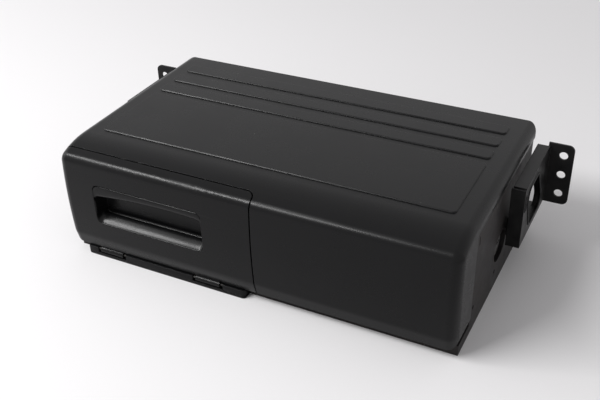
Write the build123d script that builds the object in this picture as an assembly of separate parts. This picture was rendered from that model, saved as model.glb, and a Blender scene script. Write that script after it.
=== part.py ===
"""Ten-disc car CD changer: case, hinged door, magazine with ten trays and the lifting player deck.

Axes while modelling: x = 0 on the case's centre line, y = 0 on the front face's chord and growing to
the rear, z = 0 on the base. Every piece is moved back by CENTRE_Y when it is written, so that the
origin is the bottom centre of the whole part.
"""
from build123d import *
import os

# ------------------------------------------------------------------ case, mm
CASE_W = 305.0          # width over the cover
CASE_D = 175.0          # front chord to the cover's rear edge
HALF_W = CASE_W / 2
FLAT_TOP = 91.0         # base to the flat of the cover
PANEL_RAISE = 1.0       # raised panel and ribs above the flat
WALL = 2.4              # moulded cover and door
SHEET = 1.2             # steel sheet
BOW = 3.2               # how far the front face bows forward of its chord
NOSE_START = 27.0       # where the flat top starts to fall to the front
NOSE_CORNER = (-2.0, FLAT_TOP - 6.8)  # where slope and front would meet without their rounding (y, z)
NOSE_ROUND = 8.5        # rounding along that corner
BOW_Z = FLAT_TOP - 37.0 # height of the bow's peak
TOE = (-1.6, 18.0)      # where the front turns in towards its lower edge
TOE_ROUND = 20.0
PANEL_BOTTOM = 8.5      # lower edge of the front panels
BOTTOM_EDGE_Y = 1.0     # where the outer skin meets that edge
END_ROUND = 7.5         # rounding of the cover's long side edges
CORNER_ROUND = 8.0      # plan corners at the rear, front corners at the foot
RETURN_Y = 29.0         # end of the front's side returns
LIP_Z = FLAT_TOP - 9.0  # lower edge of the cover's side lip

# ------------------------------------------------------------------ raised panel and ribs on the top
PANEL_X = (-HALF_W + 15.7, HALF_W - 16.9)
RIB_Y = CASE_D - 68.0
PANEL_Y = (32.9, RIB_Y - 6.0)
RIB_PITCH = 19.6
RIB_WIDTH = 12.5
RIB_COUNT = 3
PANEL_CORNER = 3.0
PANEL_BEVEL = 0.6

# ------------------------------------------------------------------ door
SEAM = 1.0              # gap round the door
DOOR_RIGHT = -HALF_W + 158.7  # right edge of the door
DOOR_REAR = 7.1         # upper and side edge of the door, measured in y
DOOR_CORNER = 5.0       # rounding of its upper right corner
PULL_X = (-HALF_W + 28.6, -HALF_W + 120.5)
PULL_Z = (33.5, FLAT_TOP - 24.0)
PULL_BACK = 11.0        # rear face of the recessed pull
PULL_WALL = 1.5
PULL_ROUND = 5.0
PULL_SLOPE_TOP = 43.0   # inner end of the lower slope
PULL_LIP_BOTTOM = PULL_Z[1] - 7.2  # lower edge of the grip lip
PULL_LIP = 2.0          # thickness of the grip lip
PULL_LIP_Y = 0.8        # lower edge of the lip, behind the front chord
PULL_EDGE = 0.45        # rim round the pull's mouth
PULL_SLOPE_Y = 6.0      # inner end of the lower slope
HINGE_Y = 2.0
HINGE_Z = 5.4
HINGE_PIN_R = 1.0
RUNNING = 0.05          # radial clearance of running fits
ARM_R = 2.2             # barrel round the hinge pin
ARM_WIDTH = 20.0
WEB_FRONT = 0.9         # hinge arm before and behind its pin
WEB_REAR = 1.6
WEB_UP = 5.0            # how far an arm reaches up the door's inside
ARM_X = (-HALF_W + 34.5, -HALF_W + 119.0)

# ------------------------------------------------------------------ sill under the door
SILL_X = (-HALF_W + 12.0, -HALF_W + 150.0)
SILL_DEPTH = 8.0
SILL_HEIGHT = 7.0
SILL_ROUND = 3.0
NOTCH_WIDTH = 25.0
NOTCH_FLOOR = 2.8
NOTCH_DEPTH = 6.0
GROOVE_Z = (1.6, 2.4)   # groove along the sill's front
GROOVE_DEPTH = 0.7
PIN_SEAT = 3.0          # how far a hinge pin enters the sill at each side of its notch

# ------------------------------------------------------------------ steel chassis
CHASSIS_INSET = 0.8     # side wall behind the cover's skin
CHASSIS_REAR = CASE_D - 1.6
REAR_FLANGE = 12.0      # the side walls' returns beside the rear panel
DIAL_Y = CASE_D - 80.0
DIAL_Z = 32.0
DIAL_SLOT_L = 28.0
DIAL_SLOT_H = 22.0
DIAL_CUP = 5.0          # depth of the cup behind the oval
DIAL_R = 8.5
DIAL_T = 2.5
DIAL_SHAFT_R = 2.0

SIDE_HOLES = ((35.5, 20.0), (DIAL_Y - 9.0, 15.0))  # (y, z) through each side wall
SIDE_HOLE_R = 1.6
SIDE_SLOT = (36.6, LIP_Z - 9.0)
SIDE_SLOT_L = 7.0
SIDE_SLOT_W = 1.6

# ------------------------------------------------------------------ mounting brackets
BRACKET_OUT = 12.0      # outer face of the bracket from the case side
BRACKET_T = 1.6
BRACKET_Y = (CASE_D - 77.0, CASE_D - 5.0)
BRACKET_Z = (31.0, FLAT_TOP - 12.0)
BRACKET_TOP_Y = (BRACKET_Y[0] + 2.0, BRACKET_Y[1] - 5.0)
BRACKET_GAP = 3.0       # top flange to the case
BRACKET_FRONT_GAP = 2.0  # front flange to the case
FLANGE_OUT = 17.5       # mounting flange beyond the bracket's plate
FLANGE_Z = (30.0, FLAT_TOP - 11.0)
FLANGE_ROUND = 4.5
MOUNT_PITCH = 16.0
MOUNT_R = 3.2
MOUNT_IN = 7.5          # mounting holes from the flange's free edge
WINDOW = [(BRACKET_Y[0] + 6.0, BRACKET_Z[1] - 5.5), (BRACKET_Y[0] + 37.0, BRACKET_Z[1] - 5.5),
          (BRACKET_Y[0] + 59.5, BRACKET_Z[0] + 6.0), (BRACKET_Y[0] + 21.0, BRACKET_Z[0] + 6.0)]
WINDOW_ROUND = 7.0
RIM_DEPTH = 3.0
FOOT_Y = (BRACKET_Y[0] + 12.0, BRACKET_Y[1] - 10.0)
FOOT_TOP = 46.0
SCREW_Y = (FOOT_Y[0] + 14.0, FOOT_Y[1] - 12.0)
SCREW_Z = 40.0
SCREW_R = 1.75
SCREW_HEAD_R = 3.5
SCREW_HEAD_T = 2.0

# ------------------------------------------------------------------ magazine and its trays
MAG_X = (-HALF_W + 9.0, -HALF_W + 148.0)
MAG_FRONT = 14.5
MAG_DEPTH = CASE_D - 35.0
MAG_WALL = 1.5
TRAY_COUNT = 10
TRAY_1_Z = 13.0         # seat of the lowest disc
TRAY_PITCH = (FLAT_TOP - TRAY_1_Z - 31.2) / (TRAY_COUNT - 1)
TRAY_FLOOR = 1.2        # tray below the disc's seat
TRAY_RIM = 1.4          # tray above it
TRAY_CLEAR = 0.3        # gap round a tray
TRAY_X = (MAG_X[0] + 2.5, MAG_X[1] - 2.5)
TAB_LENGTH = 2.0        # tab that a tray is drawn out by
TAB_LOW = 0.6           # tab below the tray's rim
LEDGE = 3.0             # runners on the magazine's front and rear walls
LEDGE_T = 1.0
DISC_R = MAG_DEPTH / 2 - 9.4
DISC_X = MAG_X[0] + 71.5  # centre of a stored disc
TRAY_HOLE_R = 18.0
TRAY_SLOT_W = 34.0
TRAY_SLOT_FRONT = 26.0
TAB_Y = (MAG_FRONT + MAG_DEPTH - 18.5, MAG_FRONT + MAG_DEPTH - 6.5)

# ------------------------------------------------------------------ bay round the magazine
BAY_FRAME_Y = 12.5
BAY_FRAME_T = 1.5
BAY_CLEAR = 0.5
BAY_FRAME_X = (-HALF_W + 4.0, DOOR_RIGHT + 5.8)
BAY_FRAME_TOP = FLAT_TOP - 6.0
RAIL_W = 9.0
GUIDE_TOP = 18.0
STOP_T = 3.0            # stop behind the magazine
STOP_GAP = 1.0
SHELF_Z = FLAT_TOP - 24.0
SHELF_X = (-HALF_W + 3.5, -HALF_W + 151.5)
SHELF_Y = (14.0, CHASSIS_REAR - 5.4)
LEG_W = 3.0
LEG_D = 3.5
BOARD_GAP = 3.3
BOARD_T = 1.6
BOARD_X = (-HALF_W + 6.5, -HALF_W + 146.5)
BOARD_Y = (28.0, SHELF_Y[1] - 4.0)
BOARD_POST_R = 3.0
BOARD_POST_IN = 5.0     # stand-offs from the board's corners
CHIPS = (               # x and y from the board's front left corner, then length, width and height
    (46.0, 42.0, 20.0, 20.0, 2.4),
    (86.0, 38.0, 14.0, 14.0, 2.0),
    (42.0, 82.0, 16.0, 10.0, 2.2),
    (90.0, 84.0, 12.0, 24.0, 2.4),
)
CAPACITORS = ((116.0, 32.0), (116.0, 48.0), (116.0, 64.0), (22.0, 106.0), (34.0, 106.0))
CAPACITOR_R = 4.0
CAPACITOR_H = 9.0
BUTTON_X = -HALF_W + 132.5
BUTTON_Z = FLAT_TOP - 14.0
BUTTON_W = 13.4
BUTTON_H = 6.0
BUTTON_FRONT = 9.0
BUTTON_LENGTH = 14.0
BUTTON_CLEAR = 0.3
BUTTON_TRAVEL = 3.0
BUTTON_BEVEL = 0.6
BUTTON_COLLAR = 1.5     # collar behind the bay frame, beyond the button's sides
COLLAR_T = 1.4
SWITCH_GAP = 0.4        # pressed button to the switch's plunger
SWITCH_W = 12.0
PLUNGER_W = 6.0
PLUNGER_L = 4.0

# ------------------------------------------------------------------ lift and player deck
DISC_Y = MAG_FRONT + MAG_DEPTH / 2
PARK_Z = FLAT_TOP - 19.0  # disc plane of the parked deck, above all trays
DECK_DROP = 2.0         # deck plate's top below the disc plane
LIFT_FRAME_X = (-HALF_W + 166.5, HALF_W - 8.1)
LIFT_FRAME_Y = (20.0, CHASSIS_REAR - 6.2)
LIFT_FRAME_Z = (5.0, FLAT_TOP - 8.8)
LIFT_SHELF_X = HALF_W - 23.5     # inner edge of the frame's right-hand shelves
LIFT_SHELF_Y = LIFT_FRAME_Y[1] - 14.7  # inner edge of its rear shelves
DECK_X = (LIFT_FRAME_X[0], LIFT_SHELF_X - 3.0)
DECK_Y = (12.0, LIFT_SHELF_Y - 6.5)
TRAY_TRAVEL = DECK_X[1] + 1.0 - TRAY_X[1] - TAB_LENGTH
DISC_IN_X = DISC_X + TRAY_TRAVEL       # centre of a disc on the deck
ROD_X = HALF_W - 15.0
ROD_Y = 40.0
SCREW_POST_Y = DECK_Y[1] - 26.0
REAR_ROD_X = DECK_X[0] + 26.0
REAR_ROD_Y = LIFT_FRAME_Y[1] - 9.2
LUG_W = 8.0             # lugs that carry the bosses
LUG_ROOT = 2.0          # how far a lug reaches into the plate
ROD_R = 2.5
LIFT_SCREW_R = 3.0
BOSS_R = 5.0
BOSS_BELOW = 6.0
BOSS_ABOVE = 2.0
DAMPER_R = 5.5
DAMPERS = ((ROD_X - 0.5, 27.0), (ROD_X - 0.5, LIFT_FRAME_Y[1] - 7.2),
           (DECK_X[0] + 8.0, LIFT_FRAME_Y[1] - 7.2), (DECK_X[0] + 66.0, LIFT_FRAME_Y[1] - 7.2))
DAMPER_WAIST = 3.8
LIFT_MOTOR_R = 9.0
LIFT_MOTOR_H = 5.6
SPINDLE_R = 11.0
MOTOR_H = 6.4
TABLE_R = 14.0
TABLE_T = 1.4
TABLE_GAP = 0.3         # turntable below the disc plane
HUB_R = 7.3
HUB_H = 1.5
PICKUP_IN = 23.0        # lens from the spindle at the inner stop
PICKUP_TRAVEL = 35.0
PICKUP_HALF = 17.0
PICKUP_FRONT = 11.5
PICKUP_REAR = 4.5
SLED_ROD_R = 1.5
SLED_ROD_X = 12.0
SLED_SCREW_X = 24.0
SLED_DROP = 6.4         # sled rods below the disc plane
CLAMP_PIVOT_X = HALF_W - 22.5
CLAMP_ARM_Z = 5.4       # underside of the clamp arm above the disc plane
CLAMP_ARM_W = 18.0
CLAMP_GAP = 3.0         # raised clamper above the disc plane
CLAMP_HOLE_R = 8.3
CLAMP_ROOF = 0.8        # clamper above its hole
CLAMP_PIN_R = 1.5
CLAMP_PIN_UP = 0.6      # pin above the arm's underside
CLAMP_BARREL_T = 1.0
POST_W = 6.0            # posts that carry the clamp's pin
POST_T = 2.0
POST_GAP = 0.4
SHAFT_R = 2.0
SHAFT_BORE_R = 4.0
LANE_MARGIN = 6.0       # pickup's lane in the deck plate inside the pickup's sides
BLOCK_LOW = 2.9         # pickup block below and above its rods
BLOCK_HIGH = 2.6
NUT_Y = (2.0, 10.0)     # half nut on the sled screw, from the block's front
LENS_R = 3.2
LENS_H = 1.6
HOLDER_T = 2.0
HOLDER_HALF = 3.0
SLED_END = (1.0, 3.0)   # free rod beyond the block at its two stops
SLED_MOTOR_L = 15.0
SLED_MOTOR_GAP = 0.1

# ------------------------------------------------------------------ sockets and screws at the rear
SOCKET_X = -HALF_W + 52.5
SOCKET_Z = 40.0
SOCKET_R = 8.5
SOCKET_WALL = 1.2
SOCKET_PROUD = 1.2      # both sockets beyond the panel
SOCKET_DEPTH = 14.4     # behind the panel's outer face
SOCKET_WELL = 6.0       # depth of the open mouth
SOCKET_CORE_R = 3.0
SOCKET_CORE_IN = 1.5    # core below the panel's outer face
SOCKET_FLANGE_R = 11.0
SOCKET_FLANGE_T = 2.0
AUDIO_X = (-HALF_W + 90.5, -HALF_W + 106.5)
AUDIO_R = 4.2
AUDIO_DEPTH = 10.4
AUDIO_BORE_R = 1.6
AUDIO_FLANGE_R = 6.0
REAR_SCREW_X = HALF_W - 10.5
REAR_SCREW_Z = (12.0, FLAT_TOP - 19.0)
REAR_HEAD_R = 3.0
REAR_HEAD_T = 1.3
SCREW_REACH = 4.5       # rear screws' thread inside the panel
STRIP_X = (3.0, 4.6)    # backing strips inside and outside the panel's side edges
STRIP_Z = (4.0, LIP_Z - 2.0)

CENTRE_Y = (CASE_D - BOW) / 2
WALL_X = HALF_W - CHASSIS_INSET        # outer face of the chassis side walls
INNER_X = WALL_X - SHEET
MAG_Y = (MAG_FRONT, MAG_FRONT + MAG_DEPTH)
MAG_Z = (TRAY_1_Z - TRAY_FLOOR - TRAY_CLEAR - LEDGE_T - MAG_WALL + 0.8,
         TRAY_1_Z + (TRAY_COUNT - 1) * TRAY_PITCH + TRAY_RIM + 1.0 + MAG_WALL)
TRAY_Y = (MAG_Y[0] + MAG_WALL + TRAY_CLEAR, MAG_Y[1] - MAG_WALL - TRAY_CLEAR)


# ------------------------------------------------------------------ small helpers
def block(x, y, z):
    """A box from three (low, high) pairs."""
    size = (x[1] - x[0], y[1] - y[0], z[1] - z[0])
    return Pos((x[0] + x[1]) / 2, (y[0] + y[1]) / 2, (z[0] + z[1]) / 2) * Box(*size)


def rod(start, end, radius):
    """A round bar between two points that differ along one axis."""
    axis = Vector(*end) - Vector(*start)
    return Solid.make_cylinder(radius, axis.length, Plane(origin=start, z_dir=axis.normalized()))


def rounded_plate(x, y, z, radius):
    """A plate with rounded plan corners."""
    centre = Pos((x[0] + x[1]) / 2, (y[0] + y[1]) / 2, z[0])
    return extrude(centre * RectangleRounded(x[1] - x[0], y[1] - y[0], radius), z[1] - z[0])


def rounded_front(x, y, z, radius):
    """A plate with rounded corners in the front view."""
    plane = Plane(origin=((x[0] + x[1]) / 2, y[1], (z[0] + z[1]) / 2), x_dir=(1, 0, 0), z_dir=(0, -1, 0))
    return extrude(plane * RectangleRounded(x[1] - x[0], z[1] - z[0], radius), y[1] - y[0])


def side_prism(points, x, radius=0.0):
    """A prism along x from (y, z) corners, with rounded corners if asked."""
    face = make_face(Polyline(*[(x[0], y, z) for y, z in points], close=True))
    solid = extrude(face, x[1] - x[0], dir=(1, 0, 0))
    if radius:
        solid = fillet(solid.edges().filter_by(Axis.X), radius)
    return solid


def one(shape):
    """The single solid of a result."""
    solids = shape.solids()
    if len(solids) != 1:
        raise ValueError(f"{len(solids)} solids where one was meant")
    return solids[0]


def mirror_x(shape):
    return mirror(shape, about=Plane.YZ)


def save(name, *pieces):
    """Write the solids of one node, with the origin at the part's bottom centre."""
    solids = [solid for piece in pieces for solid in piece.solids()]
    moved = [Pos(0, -CENTRE_Y, 0) * solid for solid in solids]
    export_step(moved[0] if len(moved) == 1 else Compound(children=moved), f"parts/{name}.step")


# ------------------------------------------------------------------ cover and door skin
def nose_section(inset, bottom):
    """Side view of the cover from its rear edge over the top and down the bowed front."""
    x = -HALF_W + inset
    rear = CASE_D - inset
    top = FLAT_TOP - inset
    start = (x, NOSE_START, top)
    corner = (x, NOSE_CORNER[0] + inset, NOSE_CORNER[1] - inset)
    toe = (x, TOE[0] + inset, TOE[1])
    run_in = (BOTTOM_EDGE_Y - TOE[0]) / (TOE[1] - PANEL_BOTTOM)
    foot = (x, toe[1] + run_in * (TOE[1] - bottom), bottom)
    outline = [Line((x, rear, top), start),
               TangentArc(start, corner, tangent=(0, -1, 0)),
               ThreePointArc(corner, (x, -BOW + inset, BOW_Z), toe),
               Line(toe, foot),
               Polyline(foot, (x, rear, bottom), (x, rear, top))]
    return make_face(Curve() + outline)


def skin(inset, bottom):
    """The full outer body of the cover and door, inset by a wall."""
    solid = extrude(nose_section(inset, bottom), CASE_W - 2 * inset, dir=(1, 0, 0))
    across = solid.edges().filter_by(Axis.X)
    nose = across.sort_by_distance((0, NOSE_CORNER[0] + inset, NOSE_CORNER[1] - inset))[0]
    toe = across.sort_by_distance((0, TOE[0] + inset, TOE[1]))[0]
    solid = fillet(nose, NOSE_ROUND - inset)
    solid = fillet(solid.edges().filter_by(Axis.X).sort_by_distance(toe.center())[0], TOE_ROUND)
    ends = [e for e in solid.edges()
            if abs(abs(e.center().X) - (HALF_W - inset)) < 0.01 and e.center().Z > bottom + 1
            and e.center().Y < CASE_D - inset - 1]
    solid = fillet(ends, END_ROUND - inset)
    plan_y = (-60.0, CASE_D - inset)
    plan = rounded_plate((-HALF_W + inset, HALF_W - inset), plan_y, (-1.0, 120.0), CORNER_ROUND - inset)
    return one(solid & plan)


def front_foot(grow):
    """The region above the front panels' rounded lower corners."""
    x = (-HALF_W - grow, HALF_W + grow)
    return rounded_front(x, (-20.0, RETURN_Y), (PANEL_BOTTOM - grow, 130.0), CORNER_ROUND)


def door_region(grow):
    """The part of the front that swings, seen in plan."""
    x = (-HALF_W - 40.0, DOOR_RIGHT + grow)
    y = (-40.0, DOOR_REAR + grow)
    return rounded_plate(x, y, (PANEL_BOTTOM - 20.0, 130.0), DOOR_CORNER + grow)


def raised_plate(x, y):
    plate = rounded_plate(x, y, (FLAT_TOP - 0.4, FLAT_TOP + PANEL_RAISE), PANEL_CORNER)
    return chamfer(plate.faces().sort_by(Axis.Z)[-1].edges(), PANEL_BEVEL)


def make_top_cover(outer, inner):
    cover = outer - inner
    below_lip = block((-HALF_W - 1, HALF_W + 1), (RETURN_Y, CASE_D + 1), (-2.0, LIP_Z))
    below_panels = block((-HALF_W - 1, HALF_W + 1), (-20.0, RETURN_Y), (-2.0, 60.0)) - front_foot(0.0)
    cover = cover - below_lip - below_panels - door_region(SEAM)
    cover += raised_plate(PANEL_X, PANEL_Y)
    for i in range(RIB_COUNT):
        y = RIB_Y + i * RIB_PITCH
        cover += raised_plate(PANEL_X, (y, y + RIB_WIDTH))
    return one(cover)


def make_door(outer, inner):
    shell = (outer - inner) & door_region(0.0) & front_foot(0.0)
    shell -= rounded_front(PULL_X, (-20.0, 20.0), PULL_Z, PULL_ROUND)
    door = one(shell)
    for x in ARM_X:
        span = (x - ARM_WIDTH / 2, x + ARM_WIDTH / 2)
        web_y, web_top = (HINGE_Y - WEB_FRONT, HINGE_Y + WEB_REAR), PANEL_BOTTOM + WEB_UP
        web = block(span, web_y, (HINGE_Z, web_top))
        barrel = rod((span[0], HINGE_Y, HINGE_Z), (span[1], HINGE_Y, HINGE_Z), ARM_R)
        bore = rod((span[0] - 1, HINGE_Y, HINGE_Z), (span[1] + 1, HINGE_Y, HINGE_Z), HINGE_PIN_R + RUNNING)
        door = door + (web & outer) + barrel - bore
    return one(door)


def make_pull(outer):
    """The moulded finger pull: a pocket with a lip to grip from below."""
    body = rounded_front(PULL_X, (-20.0, PULL_BACK), PULL_Z, PULL_ROUND) & outer
    face, back, lip = PULL_EDGE - BOW, PULL_BACK - PULL_WALL, PULL_LIP + PULL_LIP_Y
    low, high = PULL_Z[0] + PULL_EDGE, PULL_Z[1] - PULL_EDGE
    roof = PULL_Z[1] - PULL_WALL
    outline = [(-20.0, low), (face, low), (PULL_SLOPE_Y, PULL_SLOPE_TOP), (back, PULL_SLOPE_TOP + 3.0),
               (back, roof), (lip, roof), (lip, PULL_LIP_BOTTOM + 1.0), (PULL_LIP_Y, PULL_LIP_BOTTOM),
               (face, high), (-20.0, high)]
    return one(body - side_prism(outline, (PULL_X[0] + PULL_WALL, PULL_X[1] - PULL_WALL)))


# ------------------------------------------------------------------ sill and hinge pins
def make_sill():
    sill = block(SILL_X, (0.0, SILL_DEPTH), (0.0, SILL_HEIGHT))
    sill = fillet(sill.edges().filter_by(Axis.Z).sort_by(Axis.Y)[:2], SILL_ROUND)
    sill -= block((SILL_X[0] - 1, SILL_X[1] + 1), (-1.0, GROOVE_DEPTH), GROOVE_Z)
    for x in ARM_X:
        notch_x = (x - NOTCH_WIDTH / 2, x + NOTCH_WIDTH / 2)
        sill -= block(notch_x, (-1.0, NOTCH_DEPTH), (NOTCH_FLOOR, SILL_HEIGHT + 1))
        sill -= hinge_pin(x)
    return one(sill)


def hinge_pin(x):
    reach = NOTCH_WIDTH / 2 + PIN_SEAT
    return rod((x - reach, HINGE_Y, HINGE_Z), (x + reach, HINGE_Y, HINGE_Z), HINGE_PIN_R)


# ------------------------------------------------------------------ chassis, rear panel and tilt dials
def stadium(side, x, length, height, y, z):
    """A flat oval prism on one side wall, from |x| = x[0] to x[1]."""
    plane = Plane(origin=(side * x[0], y, z), x_dir=(0, 1, 0), z_dir=(side, 0, 0))
    return extrude(plane * SlotOverall(length, height), x[1] - x[0])


def make_chassis():
    radius = CORNER_ROUND - CHASSIS_INSET
    outer = rounded_plate((-WALL_X, WALL_X), (-60.0, CHASSIS_REAR), (0.0, LIP_Z), radius)
    inner = rounded_plate((-INNER_X, INNER_X), (-60.0, CHASSIS_REAR - SHEET), (SHEET, LIP_Z + 1),
                          radius - SHEET)
    inner_front = block((-INNER_X, INNER_X), (SILL_DEPTH + SHEET, 60.0), (SHEET, LIP_Z + 1))
    solid = outer - block((-200, 200), (-61.0, SILL_DEPTH), (-1.0, 100.0))
    solid -= (inner - block((-200, 200), (-61.0, 60.0), (-1.0, 100.0))) + inner_front
    solid -= block((-200, 200), (0.0, RETURN_Y + 0.5), (PANEL_BOTTOM - 0.2, 100.0))
    opening_x = WALL_X - REAR_FLANGE
    solid -= block((-opening_x, opening_x), (CHASSIS_REAR - 3, CHASSIS_REAR + 1), (SHEET, LIP_Z + 1))
    solid = one(solid)
    for side in (-1, 1):
        solid -= stadium(side, (INNER_X - 1, WALL_X + 1), DIAL_SLOT_L, DIAL_SLOT_H, DIAL_Y, DIAL_Z)
        floor = INNER_X - DIAL_CUP
        cup_l, cup_h = DIAL_SLOT_L + 2 * SHEET, DIAL_SLOT_H + 2 * SHEET
        cup = stadium(side, (floor, INNER_X), cup_l, cup_h, DIAL_Y, DIAL_Z)
        cup -= stadium(side, (floor + SHEET, INNER_X + 1), DIAL_SLOT_L, DIAL_SLOT_H, DIAL_Y, DIAL_Z)
        cup -= side_rod(side, (INNER_X - DIAL_CUP - 1, INNER_X), DIAL_Y, DIAL_Z, DIAL_SHAFT_R + RUNNING)
        solid += cup
        for y in SCREW_Y:
            solid -= side_rod(side, (INNER_X - 1, WALL_X + 1), y, SCREW_Z, SCREW_R)
        for y, z in SIDE_HOLES:
            solid -= side_rod(side, (INNER_X - 1, WALL_X + 1), y, z, SIDE_HOLE_R)
        solid -= stadium_z(side, (INNER_X - 1, WALL_X + 1), SIDE_SLOT_L, SIDE_SLOT_W, *SIDE_SLOT)
    for x in (-REAR_SCREW_X, REAR_SCREW_X):
        for z in REAR_SCREW_Z:
            solid -= rod((x, CHASSIS_REAR - 4, z), (x, CHASSIS_REAR + 1, z), SCREW_R)
    return one(solid)


def side_rod(side, x, y, z, radius):
    return rod((side * x[0], y, z), (side * x[1], y, z), radius)


def stadium_z(side, x, length, width, y, z):
    """An upright slot through one side wall."""
    plane = Plane(origin=(side * x[0], y, z), x_dir=(0, 0, 1), z_dir=(side, 0, 0))
    return extrude(plane * SlotOverall(length, width), x[1] - x[0])


def make_rear_panel():
    edge = WALL_X - REAR_FLANGE
    panel = block((-edge, edge), (CHASSIS_REAR - SHEET, CHASSIS_REAR), (SHEET, LIP_Z))
    rear = CHASSIS_REAR - SHEET
    for side in (-1, 1):
        strip_x = sorted((side * (edge - STRIP_X[0]), side * (edge + STRIP_X[1])))
        panel += block(strip_x, (rear - SHEET, rear), STRIP_Z)
    panel -= through_rear(SOCKET_X, SOCKET_Z, SOCKET_R + RUNNING)
    for x in AUDIO_X:
        panel -= through_rear(x, SOCKET_Z, AUDIO_R + RUNNING)
    for x in (-REAR_SCREW_X, REAR_SCREW_X):
        for z in REAR_SCREW_Z:
            panel -= through_rear(x, z, SCREW_R)
    return one(panel)


def through_rear(x, z, radius):
    """A bore through the rear panel and what lies against it."""
    return rod((x, CHASSIS_REAR - 3 * SHEET, z), (x, CHASSIS_REAR + SHEET, z), radius)


def make_dial(side):
    """The tilt dial that a screwdriver turns, seated in the oval cup."""
    floor = INNER_X - DIAL_CUP + SHEET
    dial = side_rod(side, (floor + 0.1, floor + 0.1 + DIAL_T), DIAL_Y, DIAL_Z, DIAL_R)
    dial += side_rod(side, (floor - SHEET - 0.8, floor + 0.2), DIAL_Y, DIAL_Z, DIAL_SHAFT_R)
    x = sorted((side * (floor + 0.1 + DIAL_T - 1.2), side * (floor + 1.0 + DIAL_T)))
    dial -= block(x, (DIAL_Y - 6.5, DIAL_Y + 6.5), (DIAL_Z - 0.8, DIAL_Z + 0.8))
    return one(dial)


# ------------------------------------------------------------------ mounting brackets and screws
def make_bracket():
    """The right-hand bracket; the left one is its mirror image."""
    out = HALF_W + BRACKET_OUT
    inside = out - BRACKET_T
    plate = block((inside, out), BRACKET_Y, (BRACKET_Z[0], BRACKET_Z[1] - 1.0))
    window = side_prism(WINDOW, (inside - 10, out + 10), WINDOW_ROUND)
    top_x = (HALF_W + BRACKET_GAP, out)
    top = block(top_x, BRACKET_TOP_Y, (BRACKET_Z[1] - BRACKET_T, BRACKET_Z[1]))
    front_y = (BRACKET_Y[0], BRACKET_Y[0] + BRACKET_T)
    front = block((HALF_W + BRACKET_FRONT_GAP, out), front_y, (BRACKET_Z[0], BRACKET_Z[1] - 1.0))
    bottom = block((WALL_X, out), FOOT_Y, (BRACKET_Z[0], BRACKET_Z[0] + BRACKET_T))
    foot = block((WALL_X, WALL_X + BRACKET_T), FOOT_Y, (BRACKET_Z[0], FOOT_TOP))
    flange = block((inside, out + FLANGE_OUT), (BRACKET_Y[1] - BRACKET_T, BRACKET_Y[1]), FLANGE_Z)
    flange = fillet(flange.edges().filter_by(Axis.Y).group_by(Axis.X)[-1], FLANGE_ROUND)
    bracket = plate + top + front + bottom + foot + flange
    bracket = bracket - window + window_rim(out)
    hole_x = out + FLANGE_OUT - MOUNT_IN
    mid_z = (FLANGE_Z[0] + FLANGE_Z[1]) / 2
    for i in (-1, 0, 1):
        z = mid_z + i * MOUNT_PITCH
        bracket -= rod((hole_x, BRACKET_Y[1] - 5, z), (hole_x, BRACKET_Y[1] + 5, z), MOUNT_R)
    for y in SCREW_Y:
        bracket -= side_rod(1, (WALL_X - 1, WALL_X + BRACKET_T + 1), y, SCREW_Z, SCREW_R)
    return one(bracket)


def window_rim(out):
    """The window's rim, drawn inwards from the plate."""
    x = (out - RIM_DEPTH - BRACKET_T, out)
    hole = side_prism(WINDOW, (x[0] - 1, x[1] + 1), WINDOW_ROUND)
    face = make_face(Polyline(*[(x[0], y, z) for y, z in WINDOW], close=True))
    grown = offset(face, BRACKET_T, kind=Kind.INTERSECTION)
    body = extrude(grown, x[1] - x[0], dir=(1, 0, 0))
    body = fillet(body.edges().filter_by(Axis.X), WINDOW_ROUND + BRACKET_T)
    return body - hole


def bracket_screw(side, y):
    face = WALL_X + BRACKET_T
    screw = side_rod(side, (INNER_X - 1.5, face), y, SCREW_Z, SCREW_R)
    return screw + side_rod(side, (face, face + SCREW_HEAD_T), y, SCREW_Z, SCREW_HEAD_R)


def rear_screw(x, z):
    screw = rod((x, CHASSIS_REAR - SCREW_REACH, z), (x, CHASSIS_REAR, z), SCREW_R)
    return screw + rod((x, CHASSIS_REAR, z), (x, CHASSIS_REAR + REAR_HEAD_T, z), REAR_HEAD_R)


# ------------------------------------------------------------------ magazine and trays
def tray_z(level):
    """Disc seat of a tray, counted from 0 at the bottom."""
    return TRAY_1_Z + level * TRAY_PITCH


def make_magazine():
    body = block(MAG_X, MAG_Y, MAG_Z)
    body = fillet(body.edges().filter_by(Axis.X), 2.0)
    inner_y = (MAG_Y[0] + MAG_WALL, MAG_Y[1] - MAG_WALL)
    body -= block((MAG_X[0] + MAG_WALL, MAG_X[1] + 1), inner_y, (MAG_Z[0] + MAG_WALL, MAG_Z[1] - MAG_WALL))
    runner_x = (MAG_X[0] + MAG_WALL, MAG_X[1])
    for level in range(1, TRAY_COUNT):
        top = tray_z(level) - TRAY_FLOOR - TRAY_CLEAR
        body += block(runner_x, (inner_y[0], inner_y[0] + LEDGE), (top - LEDGE_T, top))
        body += block(runner_x, (inner_y[1] - LEDGE, inner_y[1]), (top - LEDGE_T, top))
    return one(body)


def make_tray(level):
    seat = tray_z(level)
    tray = block(TRAY_X, TRAY_Y, (seat - TRAY_FLOOR, seat + TRAY_RIM))
    tray -= rod((DISC_X, DISC_Y, seat), (DISC_X, DISC_Y, seat + 5), DISC_R)
    slot_x = (DISC_X - TRAY_SLOT_W / 2, DISC_X + TRAY_SLOT_W / 2)
    tray -= rod((DISC_X, DISC_Y, seat - 5), (DISC_X, DISC_Y, seat + 5), TRAY_HOLE_R)
    tray -= block(slot_x, (TRAY_SLOT_FRONT, DISC_Y), (seat - 5, seat + 5))
    tray += block((TRAY_X[1], TRAY_X[1] + TAB_LENGTH), TAB_Y, (seat - TRAY_FLOOR, seat + TRAY_RIM - TAB_LOW))
    return one(tray)


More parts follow.
